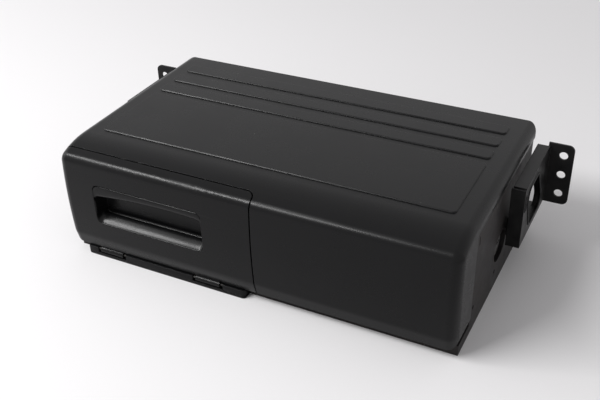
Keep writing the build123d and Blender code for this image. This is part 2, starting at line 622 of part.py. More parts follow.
# ------------------------------------------------------------------ bay frame, rails, shelf and electronics
def make_bay_frame():
    y = (BAY_FRAME_Y, BAY_FRAME_Y + BAY_FRAME_T)
    frame = block(BAY_FRAME_X, y, (SHEET, BAY_FRAME_TOP))
    frame -= block((MAG_X[0] - BAY_CLEAR, MAG_X[1] + BAY_CLEAR), (y[0] - 1, y[1] + 1),
                   (MAG_Z[0] - BAY_CLEAR, MAG_Z[1] + BAY_CLEAR))
    frame -= block((BUTTON_X - BUTTON_W / 2 - BUTTON_CLEAR, BUTTON_X + BUTTON_W / 2 + BUTTON_CLEAR),
                   (y[0] - 1, y[1] + 1),
                   (BUTTON_Z - BUTTON_H / 2 - BUTTON_CLEAR, BUTTON_Z + BUTTON_H / 2 + BUTTON_CLEAR))
    return one(frame)


def make_rails():
    """Runners under the magazine, the left one with a side guide."""
    y = (BAY_FRAME_Y + BAY_FRAME_T, MAG_Y[1] + STOP_GAP + STOP_T)
    z = (SHEET, MAG_Z[0] - TRAY_CLEAR)
    left = block((MAG_X[0] - 2.0, MAG_X[0] + RAIL_W), y, z)
    left += block((MAG_X[0] - 2.0, MAG_X[0] - BAY_CLEAR), y, (SHEET, GUIDE_TOP))
    right = block((MAG_X[1] - RAIL_W, MAG_X[1]), y, z)
    stop = block((MAG_X[0] + RAIL_W, MAG_X[1] - RAIL_W), (y[1] - STOP_T, y[1]), (SHEET, GUIDE_TOP))
    return one(left), one(right), one(stop)


def make_shelf():
    """Sheet shelf over the magazine on four legs, with stand-offs for the board."""
    shelf = block(SHELF_X, SHELF_Y, (SHELF_Z, SHELF_Z + SHEET))
    for x in ((SHELF_X[0], SHELF_X[0] + LEG_W), (SHELF_X[1] - LEG_W, SHELF_X[1])):
        for y in ((SHELF_Y[0], SHELF_Y[0] + LEG_D), (SHELF_Y[1] - LEG_D, SHELF_Y[1])):
            if x[0] < MAG_X[0] or y[0] > MAG_Y[1] or y[1] < TRAY_Y[0]:
                shelf += block(x, y, (SHEET, SHELF_Z))
    for x in (BOARD_X[0] + BOARD_POST_IN, BOARD_X[1] - BOARD_POST_IN):
        for y in (BOARD_Y[0] + BOARD_POST_IN, BOARD_Y[1] - BOARD_POST_IN):
            shelf += rod((x, y, SHELF_Z + SHEET), (x, y, SHELF_Z + SHEET + BOARD_GAP), BOARD_POST_R)
    return one(shelf)


def board_top():
    return SHELF_Z + SHEET + BOARD_GAP + BOARD_T


def make_board():
    return block(BOARD_X, BOARD_Y, (board_top() - BOARD_T, board_top()))


def make_chip(x, y, length, width, height):
    """One chip, placed from the board's front left corner."""
    x, y = BOARD_X[0] + x, BOARD_Y[0] + y
    return block((x - length / 2, x + length / 2), (y - width / 2, y + width / 2),
                 (board_top(), board_top() + height))


def make_capacitor(x, y):
    x, y = BOARD_X[0] + x, BOARD_Y[0] + y
    return rod((x, y, board_top()), (x, y, board_top() + CAPACITOR_H), CAPACITOR_R)


def make_eject_switch():
    face = BUTTON_FRONT + BUTTON_LENGTH + BUTTON_TRAVEL + SWITCH_GAP
    z = (board_top(), BUTTON_Z + BUTTON_H / 2)
    body = block((BUTTON_X - SWITCH_W / 2, BUTTON_X + SWITCH_W / 2), (face + PLUNGER_L, BOARD_Y[0] + 10.0), z)
    plunger = block((BUTTON_X - PLUNGER_W / 2, BUTTON_X + PLUNGER_W / 2), (face, face + PLUNGER_L),
                    (BUTTON_Z - PLUNGER_W / 3, BUTTON_Z + PLUNGER_W / 3))
    return one(body + plunger)


def make_eject_button():
    x = (BUTTON_X - BUTTON_W / 2, BUTTON_X + BUTTON_W / 2)
    z = (BUTTON_Z - BUTTON_H / 2, BUTTON_Z + BUTTON_H / 2)
    button = block(x, (BUTTON_FRONT, BUTTON_FRONT + BUTTON_LENGTH), z)
    button = chamfer(button.faces().sort_by(Axis.Y)[0].edges(), BUTTON_BEVEL)
    collar = BAY_FRAME_Y + BAY_FRAME_T + BUTTON_CLEAR
    return one(button + block((x[0] - BUTTON_COLLAR, x[1] + BUTTON_COLLAR), (collar, collar + COLLAR_T), z))


def make_data_socket():
    """Round multi-pole socket with a flange behind the panel and a keyed face."""
    rear, panel = CHASSIS_REAR, CHASSIS_REAR - SHEET
    body = socket_rod(SOCKET_X, rear - SOCKET_DEPTH, rear + SOCKET_PROUD, SOCKET_R)
    body += socket_rod(SOCKET_X, panel - SOCKET_FLANGE_T, panel, SOCKET_FLANGE_R)
    body -= socket_rod(SOCKET_X, rear - SOCKET_WELL, rear + SOCKET_DEPTH, SOCKET_R - SOCKET_WALL)
    body += socket_rod(SOCKET_X, rear - SOCKET_WELL - 1.0, rear - SOCKET_CORE_IN, SOCKET_CORE_R)
    return one(body)


def socket_rod(x, start, end, radius):
    return rod((x, start, SOCKET_Z), (x, end, SOCKET_Z), radius)


def make_audio_socket(x):
    rear, panel = CHASSIS_REAR, CHASSIS_REAR - SHEET
    body = socket_rod(x, rear - AUDIO_DEPTH, rear + SOCKET_PROUD, AUDIO_R)
    body += socket_rod(x, panel - SOCKET_FLANGE_T, panel, AUDIO_FLANGE_R)
    return one(body - socket_rod(x, rear - SOCKET_WELL, rear + AUDIO_DEPTH, AUDIO_BORE_R))


# ------------------------------------------------------------------ lift
def make_lift_frame():
    """Bent sheet frame on the right and rear, with shelves above and below for the posts."""
    x, y, z = LIFT_FRAME_X, LIFT_FRAME_Y, LIFT_FRAME_Z
    frame = block((x[1] - SHEET, x[1]), y, z) + block(x, (y[1] - SHEET, y[1]), z)
    for level in ((z[0], z[0] + SHEET), (z[1] - SHEET, z[1])):
        frame += block((LIFT_SHELF_X, x[1]), y, level)
        frame += block(x, (LIFT_SHELF_Y, y[1]), level)
    frame -= rod((ROD_X, SCREW_POST_Y, z[0] - 1), (ROD_X, SCREW_POST_Y, z[1] + 1), LIFT_SCREW_R + RUNNING)
    for px, py in ((ROD_X, ROD_Y), (REAR_ROD_X, REAR_ROD_Y)):
        frame -= rod((px, py, z[0] - 1), (px, py, z[1] + 1), ROD_R)
    return one(frame)


def make_guide_rod(x, y):
    return rod((x, y, LIFT_FRAME_Z[0]), (x, y, LIFT_FRAME_Z[1]), ROD_R)


def make_lift_screw():
    low, high = LIFT_FRAME_Z[0] - 1.0, LIFT_FRAME_Z[1] - 0.1
    return rod((ROD_X, SCREW_POST_Y, low), (ROD_X, SCREW_POST_Y, high), LIFT_SCREW_R)


def make_lift_motor():
    base = LIFT_FRAME_Z[1]
    return rod((ROD_X, SCREW_POST_Y, base), (ROD_X, SCREW_POST_Y, base + LIFT_MOTOR_H), LIFT_MOTOR_R)


def make_damper(x, y):
    """Rubber spool between the base and the lift frame."""
    low, high = SHEET, LIFT_FRAME_Z[0]
    third = (high - low) / 3
    spool = rod((x, y, low), (x, y, high), DAMPER_WAIST)
    for z in (low, high - third):
        spool += rod((x, y, z), (x, y, z + third), DAMPER_R)
    return one(spool)


# ------------------------------------------------------------------ player deck
def make_deck():
    """Deck plate with three bosses that run on the screw and the guide rods."""
    top = PARK_Z - DECK_DROP
    z = (top - SHEET, top)
    deck = block(DECK_X, DECK_Y, z)
    for y in (ROD_Y, SCREW_POST_Y):
        deck += block((DECK_X[1] - LUG_ROOT, ROD_X), (y - LUG_W / 2, y + LUG_W / 2), z)
    rear_lug = (REAR_ROD_X - LUG_W / 2, REAR_ROD_X + LUG_W / 2)
    deck += block(rear_lug, (DECK_Y[1] - LUG_ROOT, REAR_ROD_Y), z)
    boss_z = (PARK_Z - BOSS_BELOW, PARK_Z + BOSS_ABOVE)
    posts = ((ROD_X, ROD_Y, ROD_R), (ROD_X, SCREW_POST_Y, LIFT_SCREW_R), (REAR_ROD_X, REAR_ROD_Y, ROD_R))
    for x, y, bore in posts:
        deck += rod((x, y, boss_z[0]), (x, y, boss_z[1]), BOSS_R)
        deck -= rod((x, y, boss_z[0] - 1), (x, y, boss_z[1] + 1), bore + RUNNING)
    lane_x = (DISC_IN_X - PICKUP_HALF + LANE_MARGIN, DISC_IN_X + PICKUP_HALF - LANE_MARGIN)
    deck -= block(lane_x, (DECK_Y[0] + 3, DISC_Y - TABLE_R - 1), (z[0] - 1, z[1] + 1))
    deck -= rod((DISC_IN_X, DISC_Y, z[0] - 1), (DISC_IN_X, DISC_Y, z[1] + 1), SHAFT_BORE_R)
    post_x = (CLAMP_PIVOT_X - POST_W / 2, CLAMP_PIVOT_X + POST_W / 2)
    for y in clamp_post_y():
        deck += block(post_x, (y, y + POST_T), (z[0], clamp_pin_z() + POST_T))
        deck += block((DECK_X[1] - LUG_ROOT, post_x[1]), (y, y + POST_T), z)
    return one(deck - make_clamp_pin())


def clamp_post_y():
    """Front faces of the two posts."""
    return (DISC_Y - CLAMP_ARM_W / 2 - POST_GAP - POST_T, DISC_Y + CLAMP_ARM_W / 2 + POST_GAP)


def clamp_pin_z():
    return PARK_Z + CLAMP_ARM_Z + CLAMP_PIN_UP


def make_clamp_pin():
    reach = CLAMP_ARM_W / 2 + POST_GAP + POST_T
    start = (CLAMP_PIVOT_X, DISC_Y - reach, clamp_pin_z())
    return rod(start, (CLAMP_PIVOT_X, DISC_Y + reach, clamp_pin_z()), CLAMP_PIN_R)


def make_clamp_arm():
    low = PARK_Z + CLAMP_ARM_Z
    y = (DISC_Y - CLAMP_ARM_W / 2, DISC_Y + CLAMP_ARM_W / 2)
    arm = block((DISC_IN_X - TABLE_R - 2.0, CLAMP_PIVOT_X), y, (low, low + SHEET))
    pin_z = clamp_pin_z()
    barrel = rod((CLAMP_PIVOT_X, y[0], pin_z), (CLAMP_PIVOT_X, y[1], pin_z), CLAMP_PIN_R + CLAMP_BARREL_T)
    arm = arm + barrel
    arm -= rod((CLAMP_PIVOT_X, y[0] - 1, pin_z), (CLAMP_PIVOT_X, y[1] + 1, pin_z), CLAMP_PIN_R + RUNNING)
    return one(arm)


def make_clamper():
    low, high = PARK_Z + CLAMP_GAP, PARK_Z + CLAMP_ARM_Z
    ring = rod((DISC_IN_X, DISC_Y, low), (DISC_IN_X, DISC_Y, high), TABLE_R)
    return one(ring - rod((DISC_IN_X, DISC_Y, low - 1), (DISC_IN_X, DISC_Y, high - CLAMP_ROOF), CLAMP_HOLE_R))


def make_spindle_motor():
    top = PARK_Z - DECK_DROP - SHEET
    return rod((DISC_IN_X, DISC_Y, top - MOTOR_H), (DISC_IN_X, DISC_Y, top), SPINDLE_R)


def make_turntable():
    top = PARK_Z - TABLE_GAP
    table = rod((DISC_IN_X, DISC_Y, top - TABLE_T), (DISC_IN_X, DISC_Y, top), TABLE_R)
    hub = Solid.make_cone(HUB_R, HUB_R - 1.2, HUB_H, Plane(origin=(DISC_IN_X, DISC_Y, top), z_dir=(0, 0, 1)))
    shaft_foot = PARK_Z - DECK_DROP - SHEET + SLED_MOTOR_GAP
    shaft = rod((DISC_IN_X, DISC_Y, shaft_foot), (DISC_IN_X, DISC_Y, top - TABLE_T / 2), SHAFT_R)
    return one(table + hub + shaft)


def sled_z():
    return PARK_Z - SLED_DROP


def lens_y():
    return DISC_Y - PICKUP_IN


def make_pickup():
    """Laser pickup block on two rods, with a half nut on the sled screw."""
    y = (lens_y() - PICKUP_FRONT, lens_y() + PICKUP_REAR)
    z = (sled_z() - BLOCK_LOW, sled_z() + BLOCK_HIGH)
    body = block((DISC_IN_X - PICKUP_HALF, DISC_IN_X + PICKUP_HALF), y, z)
    nut_x = (DISC_IN_X + PICKUP_HALF - 1, DISC_IN_X + SLED_SCREW_X + HOLDER_HALF)
    body += block(nut_x, (y[0] + NUT_Y[0], y[0] + NUT_Y[1]), z)
    for offset_x in (-SLED_ROD_X, SLED_ROD_X, SLED_SCREW_X):
        body -= sled_rod(offset_x, SLED_ROD_R + RUNNING)
    return one(body)


def make_lens():
    top = sled_z() + BLOCK_HIGH
    return rod((DISC_IN_X, lens_y(), top), (DISC_IN_X, lens_y(), top + LENS_H), LENS_R)


def sled_y():
    """Ends of the sled's rods: past the block at both stops."""
    return (lens_y() - PICKUP_TRAVEL - PICKUP_FRONT - SLED_END[0], lens_y() + PICKUP_REAR + SLED_END[1])


def make_sled_holders():
    """Blocks under the deck plate that hold the sled's rods and screw."""
    y0, y1 = sled_y()
    under = PARK_Z - DECK_DROP - SHEET
    holders = []
    z = (sled_z() - BLOCK_HIGH, under)
    left_x = (DISC_IN_X - SLED_ROD_X - HOLDER_HALF, DISC_IN_X - SLED_ROD_X + HOLDER_HALF)
    right_x = (DISC_IN_X + SLED_ROD_X - HOLDER_HALF, DISC_IN_X + SLED_SCREW_X + HOLDER_HALF)
    for y in ((y0 - HOLDER_T, y0), (y1, y1 + HOLDER_T)):
        holders += [block(left_x, y, z), block(right_x, y, z)]
    cuts = [sled_rod(-SLED_ROD_X, SLED_ROD_R), sled_rod(SLED_ROD_X, SLED_ROD_R),
            sled_rod(SLED_SCREW_X, SLED_ROD_R + RUNNING)]
    for cut in cuts:
        holders = [holder - cut for holder in holders]
    return holders


def sled_rod(offset_x, radius):
    y0, y1 = sled_y()
    x = DISC_IN_X + offset_x
    return rod((x, y0 - HOLDER_T, sled_z()), (x, y1 + HOLDER_T, sled_z()), radius)


def make_sled_motor():
    y = sled_y()[1] + HOLDER_T + SLED_MOTOR_GAP
    x = DISC_IN_X + SLED_SCREW_X
    return rod((x, y, sled_z()), (x, y + SLED_MOTOR_L, sled_z()), sled_motor_r())


def sled_motor_r():
    return SLED_DROP - DECK_DROP - SHEET


# ------------------------------------------------------------------ write every node
def main():
    os.makedirs("parts", exist_ok=True)
    outer = skin(0.0, -1.0)
    inner = skin(WALL, -3.0)
    save("top_cover", make_top_cover(outer, inner))
    save("magazine_door", make_door(outer, inner))
    save("door_pull", make_pull(outer))
    save("front_sill", make_sill())
    save("hinge_pins", *[hinge_pin(x) for x in ARM_X])
    save("chassis_tray", make_chassis())
    save("rear_panel", make_rear_panel())
    save("tilt_dial_left", make_dial(-1))
    save("tilt_dial_right", make_dial(1))
    bracket = make_bracket()
    save("bracket_right", bracket)
    save("bracket_left", mirror_x(bracket))
    save("bracket_screws", *[one(bracket_screw(side, y)) for side in (-1, 1) for y in SCREW_Y])
    save("rear_screws", *[one(rear_screw(x, z)) for x in (-REAR_SCREW_X, REAR_SCREW_X) for z in REAR_SCREW_Z])
    save("magazine_case", make_magazine())
    for level in range(TRAY_COUNT):
        save(f"tray_{level + 1:02d}", make_tray(level))
    save("bay_frame", make_bay_frame())
    rail_left, rail_right, rail_stop = make_rails()
    save("bay_rail_left", rail_left)
    save("bay_rail_right", rail_right)
    save("bay_stop", rail_stop)
    save("bay_shelf", make_shelf())
    save("main_board", make_board())
    save("board_chips", *[make_chip(*chip) for chip in CHIPS])
    save("board_capacitors", *[make_capacitor(x, y) for x, y in CAPACITORS])
    save("eject_switch", make_eject_switch())
    save("eject_button", make_eject_button())
    save("data_socket", make_data_socket())
    save("audio_sockets", *[make_audio_socket(x) for x in AUDIO_X])
    save("lift_frame", make_lift_frame())
    save("guide_rods", make_guide_rod(ROD_X, ROD_Y), make_guide_rod(REAR_ROD_X, REAR_ROD_Y))
    save("lift_screw", make_lift_screw())
    save("lift_motor", make_lift_motor())
    save("dampers", *[make_damper(x, y) for x, y in DAMPERS])
    save("deck_plate", make_deck())
    save("clamp_pin", make_clamp_pin())
    save("clamp_arm", make_clamp_arm())
    save("clamper", make_clamper())
    save("spindle_motor", make_spindle_motor())
    save("turntable", make_turntable())
    save("pickup_block", make_pickup())
    save("pickup_lens", make_lens())
    save("sled_holders", *make_sled_holders())
    save("sled_rods", sled_rod(-SLED_ROD_X, SLED_ROD_R), sled_rod(SLED_ROD_X, SLED_ROD_R))
    save("sled_screw", sled_rod(SLED_SCREW_X, SLED_ROD_R))
    save("sled_motor", make_sled_motor())


main()
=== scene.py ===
"""Looks of a ten-disc car CD changer: moulded black case, painted steel chassis and its mechanism.

Laid out as an add-on: property groups hold the sizes and colours, one operator makes each piece or
group of like pieces, and a sidebar panel lists them. Settings and materials are in metres, into
which MM turns millimetres. The mesh helpers work in millimetres and finish_mesh scales what they
make. X runs to the right seen from the door, Y to the rear, Z up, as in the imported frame.
"""
import bmesh
import bpy
import math
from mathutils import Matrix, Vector, geometry


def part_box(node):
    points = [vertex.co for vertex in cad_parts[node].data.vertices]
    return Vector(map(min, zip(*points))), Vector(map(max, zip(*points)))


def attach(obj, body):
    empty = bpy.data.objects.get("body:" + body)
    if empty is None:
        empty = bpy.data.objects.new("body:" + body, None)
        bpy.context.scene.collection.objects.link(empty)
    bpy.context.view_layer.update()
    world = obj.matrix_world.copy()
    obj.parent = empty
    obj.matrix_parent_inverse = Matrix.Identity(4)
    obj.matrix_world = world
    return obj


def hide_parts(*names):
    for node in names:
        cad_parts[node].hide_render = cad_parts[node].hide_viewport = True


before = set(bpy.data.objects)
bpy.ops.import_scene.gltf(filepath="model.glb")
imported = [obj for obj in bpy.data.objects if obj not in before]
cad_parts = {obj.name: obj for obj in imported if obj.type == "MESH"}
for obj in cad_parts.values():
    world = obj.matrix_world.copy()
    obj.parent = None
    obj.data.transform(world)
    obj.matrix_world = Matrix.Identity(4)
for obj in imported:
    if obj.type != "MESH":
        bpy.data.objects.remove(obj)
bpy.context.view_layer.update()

bl_info = {
    "name": "Car CD changer",
    "version": (1, 0, 0),
    "blender": (4, 5, 0),
    "location": "View3D > Sidebar > Changer",
    "description": "Cases, trims and finishes a car CD changer and sets it on a studio floor",
    "category": "Object",
}

MM = 0.001
PHOTO_WIDTH = 600               # px, the photograph's frame
CAMERA_FOCUS = 890.9            # px, focal length in that frame
SENSOR = 36.0                   # mm
CAMERA_PLACE = (262.3, -506.9, 399.6)   # mm
CAMERA_TURN = (57.40, 1.33, 26.59)      # degrees

# ------------------------------------------------------------------ the case, from the frame, in mm
COVER_LOW, COVER_HIGH = [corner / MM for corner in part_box("top_cover")]
FRONT_Y = COVER_LOW.y           # foremost line of the bowed front
PANEL_TOP = COVER_HIGH.z        # raised panel and ribs
BOW = 3.2                       # how far the front bows out of its chord
CHORD_Y = FRONT_Y + BOW
# three points of the bowed front seen from the side: depth from the chord, and height
FRONT_POINTS = ((-2.0, PANEL_TOP - 7.8), (-BOW, PANEL_TOP - 38.0), (-1.6, 18.0))


# ------------------------------------------------------------------ sizes and colours a user may change
class CHANGER_PG_finish(bpy.types.PropertyGroup):
    """Colours, as sRGB hex values, and the sizes of the surface textures."""
    abs_colour: bpy.props.StringProperty(
        name="ABS colour", description="Base colour of the black mouldings",
        default="#0B0B0C")
    paint_colour: bpy.props.StringProperty(
        name="Paint colour", description="Black paint of the steel chassis",
        default="#191718")
    bracket_colour: bpy.props.StringProperty(
        name="Bracket colour", description="Black paint of the side brackets",
        default="#0B0B0C")
    spark_grain: bpy.props.FloatProperty(
        name="Spark grain", description="Distance between the pits of the moulded texture",
        default=0.45 * MM, unit="LENGTH")
    edge_radius: bpy.props.FloatProperty(
        name="Edge radius", description="Rounding that the light shows along sharp edges",
        default=0.35 * MM, unit="LENGTH")


class CHANGER_PG_edges(bpy.types.PropertyGroup):
    """Largest rounding of the outer case's edges, where its small faces leave room for it."""
    moulded: bpy.props.FloatProperty(
        name="Moulded edge", description="Largest radius on the edges of the cover and the door",
        default=0.4 * MM, unit="LENGTH")
    pressed: bpy.props.FloatProperty(
        name="Pressed edge", description="Largest radius on the edges of the brackets",
        default=0.3 * MM, unit="LENGTH")


class CHANGER_PG_pull(bpy.types.PropertyGroup):
    """The finger pull in the magazine door."""
    rim: bpy.props.FloatProperty(
        name="Rim", description="Rounding where the pull meets the door",
        default=0.5 * MM, unit="LENGTH")
    lip_arch: bpy.props.FloatProperty(
        name="Lip arch",
        description="How much lower the grip lip is at its left end than at its middle",
        default=4.0 * MM, unit="LENGTH")
    wall: bpy.props.FloatProperty(
        name="Wall", description="Thickness of the moulded pocket",
        default=1.4 * MM, unit="LENGTH")


class CHANGER_PG_screw(bpy.types.PropertyGroup):
    """Cross-recess pan-head screws."""
    recess_width: bpy.props.FloatProperty(
        name="Recess width", description="Width of the arms of the cross recess",
        default=0.9 * MM, unit="LENGTH")
    recess_depth: bpy.props.FloatProperty(
        name="Recess depth", description="Depth of the cross recess",
        default=0.8 * MM, unit="LENGTH")


class CHANGER_PG_stage(bpy.types.PropertyGroup):
    """Floor, world and lamps."""
    floor_colour: bpy.props.StringProperty(
        name="Floor colour", description="Pale paper floor",
        default="#EFEEEF")
    floor_size: bpy.props.FloatProperty(
        name="Floor size", description="Side of the paper floor",
        default=24.0, unit="LENGTH")
    softbox_power: bpy.props.FloatProperty(
        name="Softbox power", description="Power of the large lamp at the left",
        default=6.0, unit="POWER")
    strip_power: bpy.props.FloatProperty(
        name="Strip power", description="Power of the strip lamp at the front left",
        default=18.5, unit="POWER")
    far_glow: bpy.props.FloatProperty(
        name="Far glow", description="Light that keeps the far floor pale to the camera",
        default=0.46, min=0.0)
    room_light: bpy.props.FloatProperty(
        name="Room light", description="Light from the white room",
        default=0.5, min=0.0)


# ------------------------------------------------------------------ materials
NOISE_LOW, NOISE_HIGH = 0.35, 0.65      # most of a noise's values lie between these
EDGE_SAMPLES = {"samples": 6}   # of the softened edges
SPECK_SPACING = 13 * MM
SPECK_SIZE = 0.03               # as a share of their spacing, at full dust
LAMPS_REACH = (0.4, 2.6)        # m from the object, where the lamps begin to fade and have faded


def linear(hex_colour):
    """An sRGB hex colour as linear red, green, blue and alpha."""
    values = [int(hex_colour.lstrip("#")[i:i + 2], 16) / 255 for i in (0, 2, 4)]
    return tuple(v / 12.92 if v <= 0.04045 else ((v + 0.055) / 1.055) ** 2.4 for v in values) + (1.0,)


def add_node(tree, kind, settings=None, inputs=None):
    """Adds one shader node with its settings; an input is a value or another node's output."""
    made = tree.nodes.new(kind)
    for name, value in (settings or {}).items():
        setattr(made, name, value)
    for socket, value in (inputs or {}).items():
        if isinstance(value, bpy.types.NodeSocket):
            tree.links.new(value, made.inputs[socket])
        else:
            made.inputs[socket].default_value = value
    return made


def new_material(name):
    """An empty node material and its node tree."""
    material = bpy.data.materials.new(name)
    material.use_nodes = True
    material.node_tree.nodes.clear()
    return material, material.node_tree


def moulded_abs(name, colour, grain, edge, roughness=0.42, dust=0.5, chip="#8A8884"):
    """ABS moulded in a spark-eroded tool: fine even pits dim its shine, with grey specks of dust."""
    material, tree = new_material(name)
    place = add_node(tree, "ShaderNodeTexCoord").outputs["Object"]
    pits = add_node(tree, "ShaderNodeTexNoise", inputs={
        "Vector": place, "Scale": 1.0 / grain, "Detail": 1.0})
    rub = add_node(tree, "ShaderNodeTexNoise", inputs={
        "Vector": place, "Scale": 1.0 / (38 * MM), "Detail": 4.0, "Roughness": 0.6})
    gloss = add_node(tree, "ShaderNodeMapRange", inputs={
        "Value": rub.outputs["Fac"], "From Min": NOISE_LOW, "From Max": NOISE_HIGH,
        "To Min": roughness - 0.03, "To Max": roughness + 0.05})
    soft = add_node(tree, "ShaderNodeBevel", EDGE_SAMPLES, {"Radius": edge})
    bump = add_node(tree, "ShaderNodeBump", inputs={
        "Strength": 0.12, "Distance": 0.05 * MM, "Height": pits.outputs["Fac"],
        "Normal": soft.outputs["Normal"]})
    specks = add_node(tree, "ShaderNodeTexVoronoi", {"feature": "F1"}, {
        "Vector": place, "Scale": 1.0 / SPECK_SPACING, "Randomness": 1.0})
    fleck = add_node(tree, "ShaderNodeMath", {"operation": "LESS_THAN"}, {
        0: specks.outputs["Distance"], 1: SPECK_SIZE * dust})
    base = add_node(tree, "ShaderNodeMix", {"data_type": "RGBA"}, {
        0: fleck.outputs[0], 6: linear(colour), 7: linear(chip)})
    shader = add_node(tree, "ShaderNodeBsdfPrincipled", inputs={
        "Base Color": base.outputs[2], "Roughness": gloss.outputs["Result"], "IOR": 1.53,
        "Specular IOR Level": 0.15, "Normal": bump.outputs["Normal"]})
    add_node(tree, "ShaderNodeOutputMaterial", inputs={"Surface": shader.outputs[0]})
    return material


def stove_enamel(name, colour, edge, roughness=0.5, wear="#55504C"):
    """Black stoving enamel on pressed steel: a slight orange peel, duller where it was handled."""
    material, tree = new_material(name)
    place = add_node(tree, "ShaderNodeTexCoord").outputs["Object"]
    peel = add_node(tree, "ShaderNodeTexNoise", inputs={
        "Vector": place, "Scale": 1.0 / (1.6 * MM), "Detail": 2.0})
    blotch = add_node(tree, "ShaderNodeTexNoise", inputs={
        "Vector": place, "Scale": 1.0 / (22 * MM), "Detail": 5.0, "Roughness": 0.65})
    worn = add_node(tree, "ShaderNodeMapRange", inputs={
        "Value": blotch.outputs["Fac"], "From Min": 0.4, "From Max": 0.7, "To Max": 0.22})
    gloss = add_node(tree, "ShaderNodeMapRange", inputs={
        "Value": blotch.outputs["Fac"], "From Min": NOISE_LOW, "From Max": NOISE_HIGH,
        "To Min": roughness - 0.06, "To Max": roughness + 0.1})
    soft = add_node(tree, "ShaderNodeBevel", EDGE_SAMPLES, {"Radius": edge})
    bump = add_node(tree, "ShaderNodeBump", inputs={
        "Strength": 0.25, "Distance": 0.05 * MM, "Height": peel.outputs["Fac"],
        "Normal": soft.outputs["Normal"]})
    base = add_node(tree, "ShaderNodeMix", {"data_type": "RGBA"}, {
        0: worn.outputs["Result"], 6: linear(colour), 7: linear(wear)})
    shader = add_node(tree, "ShaderNodeBsdfPrincipled", inputs={
        "Base Color": base.outputs[2], "Roughness": gloss.outputs["Result"], "IOR": 1.5,
        "Specular IOR Level": 0.18, "Normal": bump.outputs["Normal"]})
    add_node(tree, "ShaderNodeOutputMaterial", inputs={"Surface": shader.outputs[0]})
    return material


def zinc_plated_sheet(name, edge):
    """Zinc-plated steel sheet: a fine rolled grain along X and cloudy passivation."""
    material, tree = new_material(name)
    place = add_node(tree, "ShaderNodeTexCoord").outputs["Object"]
    rolled = add_node(tree, "ShaderNodeMapping", inputs={
        "Vector": place, "Scale": (0.05, 1.0, 1.0)})
    grain = add_node(tree, "ShaderNodeTexNoise", inputs={
        "Vector": rolled.outputs[0], "Scale": 1.0 / (0.4 * MM), "Detail": 2.0})
    cloud = add_node(tree, "ShaderNodeTexNoise", inputs={
        "Vector": place, "Scale": 1.0 / (14 * MM), "Detail": 4.0})
    passive = add_node(tree, "ShaderNodeMapRange", inputs={
        "Value": cloud.outputs["Fac"], "From Min": NOISE_LOW, "From Max": NOISE_HIGH})
    gloss = add_node(tree, "ShaderNodeMapRange", inputs={
        "Value": cloud.outputs["Fac"], "From Min": NOISE_LOW, "From Max": NOISE_HIGH,
        "To Min": 0.34, "To Max": 0.5})
    base = add_node(tree, "ShaderNodeMix", {"data_type": "RGBA"}, {
        0: passive.outputs["Result"], 6: linear("#A9AAA8"), 7: linear("#BDBCB6")})
    soft = add_node(tree, "ShaderNodeBevel", EDGE_SAMPLES, {"Radius": edge})
    bump = add_node(tree, "ShaderNodeBump", inputs={
        "Strength": 0.12, "Distance": 0.03 * MM, "Height": grain.outputs["Fac"],
        "Normal": soft.outputs["Normal"]})
    shader = add_node(tree, "ShaderNodeBsdfPrincipled", inputs={
        "Base Color": base.outputs[2], "Metallic": 1.0, "Roughness": gloss.outputs["Result"],
        "Normal": bump.outputs["Normal"]})
    add_node(tree, "ShaderNodeOutputMaterial", inputs={"Surface": shader.outputs[0]})
    return material


def turned_metal(name, colour, edge, roughness=0.22):
    """Ground or turned metal: bright, with fine tool marks that spread the highlight."""
    material, tree = new_material(name)
    place = add_node(tree, "ShaderNodeTexCoord").outputs["Object"]
    marks = add_node(tree, "ShaderNodeTexNoise", inputs={
        "Vector": place, "Scale": 1.0 / (0.5 * MM), "Detail": 1.0})
    handled = add_node(tree, "ShaderNodeTexNoise", inputs={
        "Vector": place, "Scale": 1.0 / (6 * MM)})
    gloss = add_node(tree, "ShaderNodeMapRange", inputs={
        "Value": handled.outputs["Fac"], "From Min": NOISE_LOW, "From Max": NOISE_HIGH,
        "To Min": roughness - 0.05, "To Max": roughness + 0.08})
    soft = add_node(tree, "ShaderNodeBevel", EDGE_SAMPLES, {"Radius": edge})
    bump = add_node(tree, "ShaderNodeBump", inputs={
        "Strength": 0.08, "Distance": 0.02 * MM, "Height": marks.outputs["Fac"],
        "Normal": soft.outputs["Normal"]})
    shader = add_node(tree, "ShaderNodeBsdfPrincipled", inputs={
        "Base Color": linear(colour), "Metallic": 1.0, "Roughness": gloss.outputs["Result"],
        "Normal": bump.outputs["Normal"]})
    add_node(tree, "ShaderNodeOutputMaterial", inputs={"Surface": shader.outputs[0]})
    return material


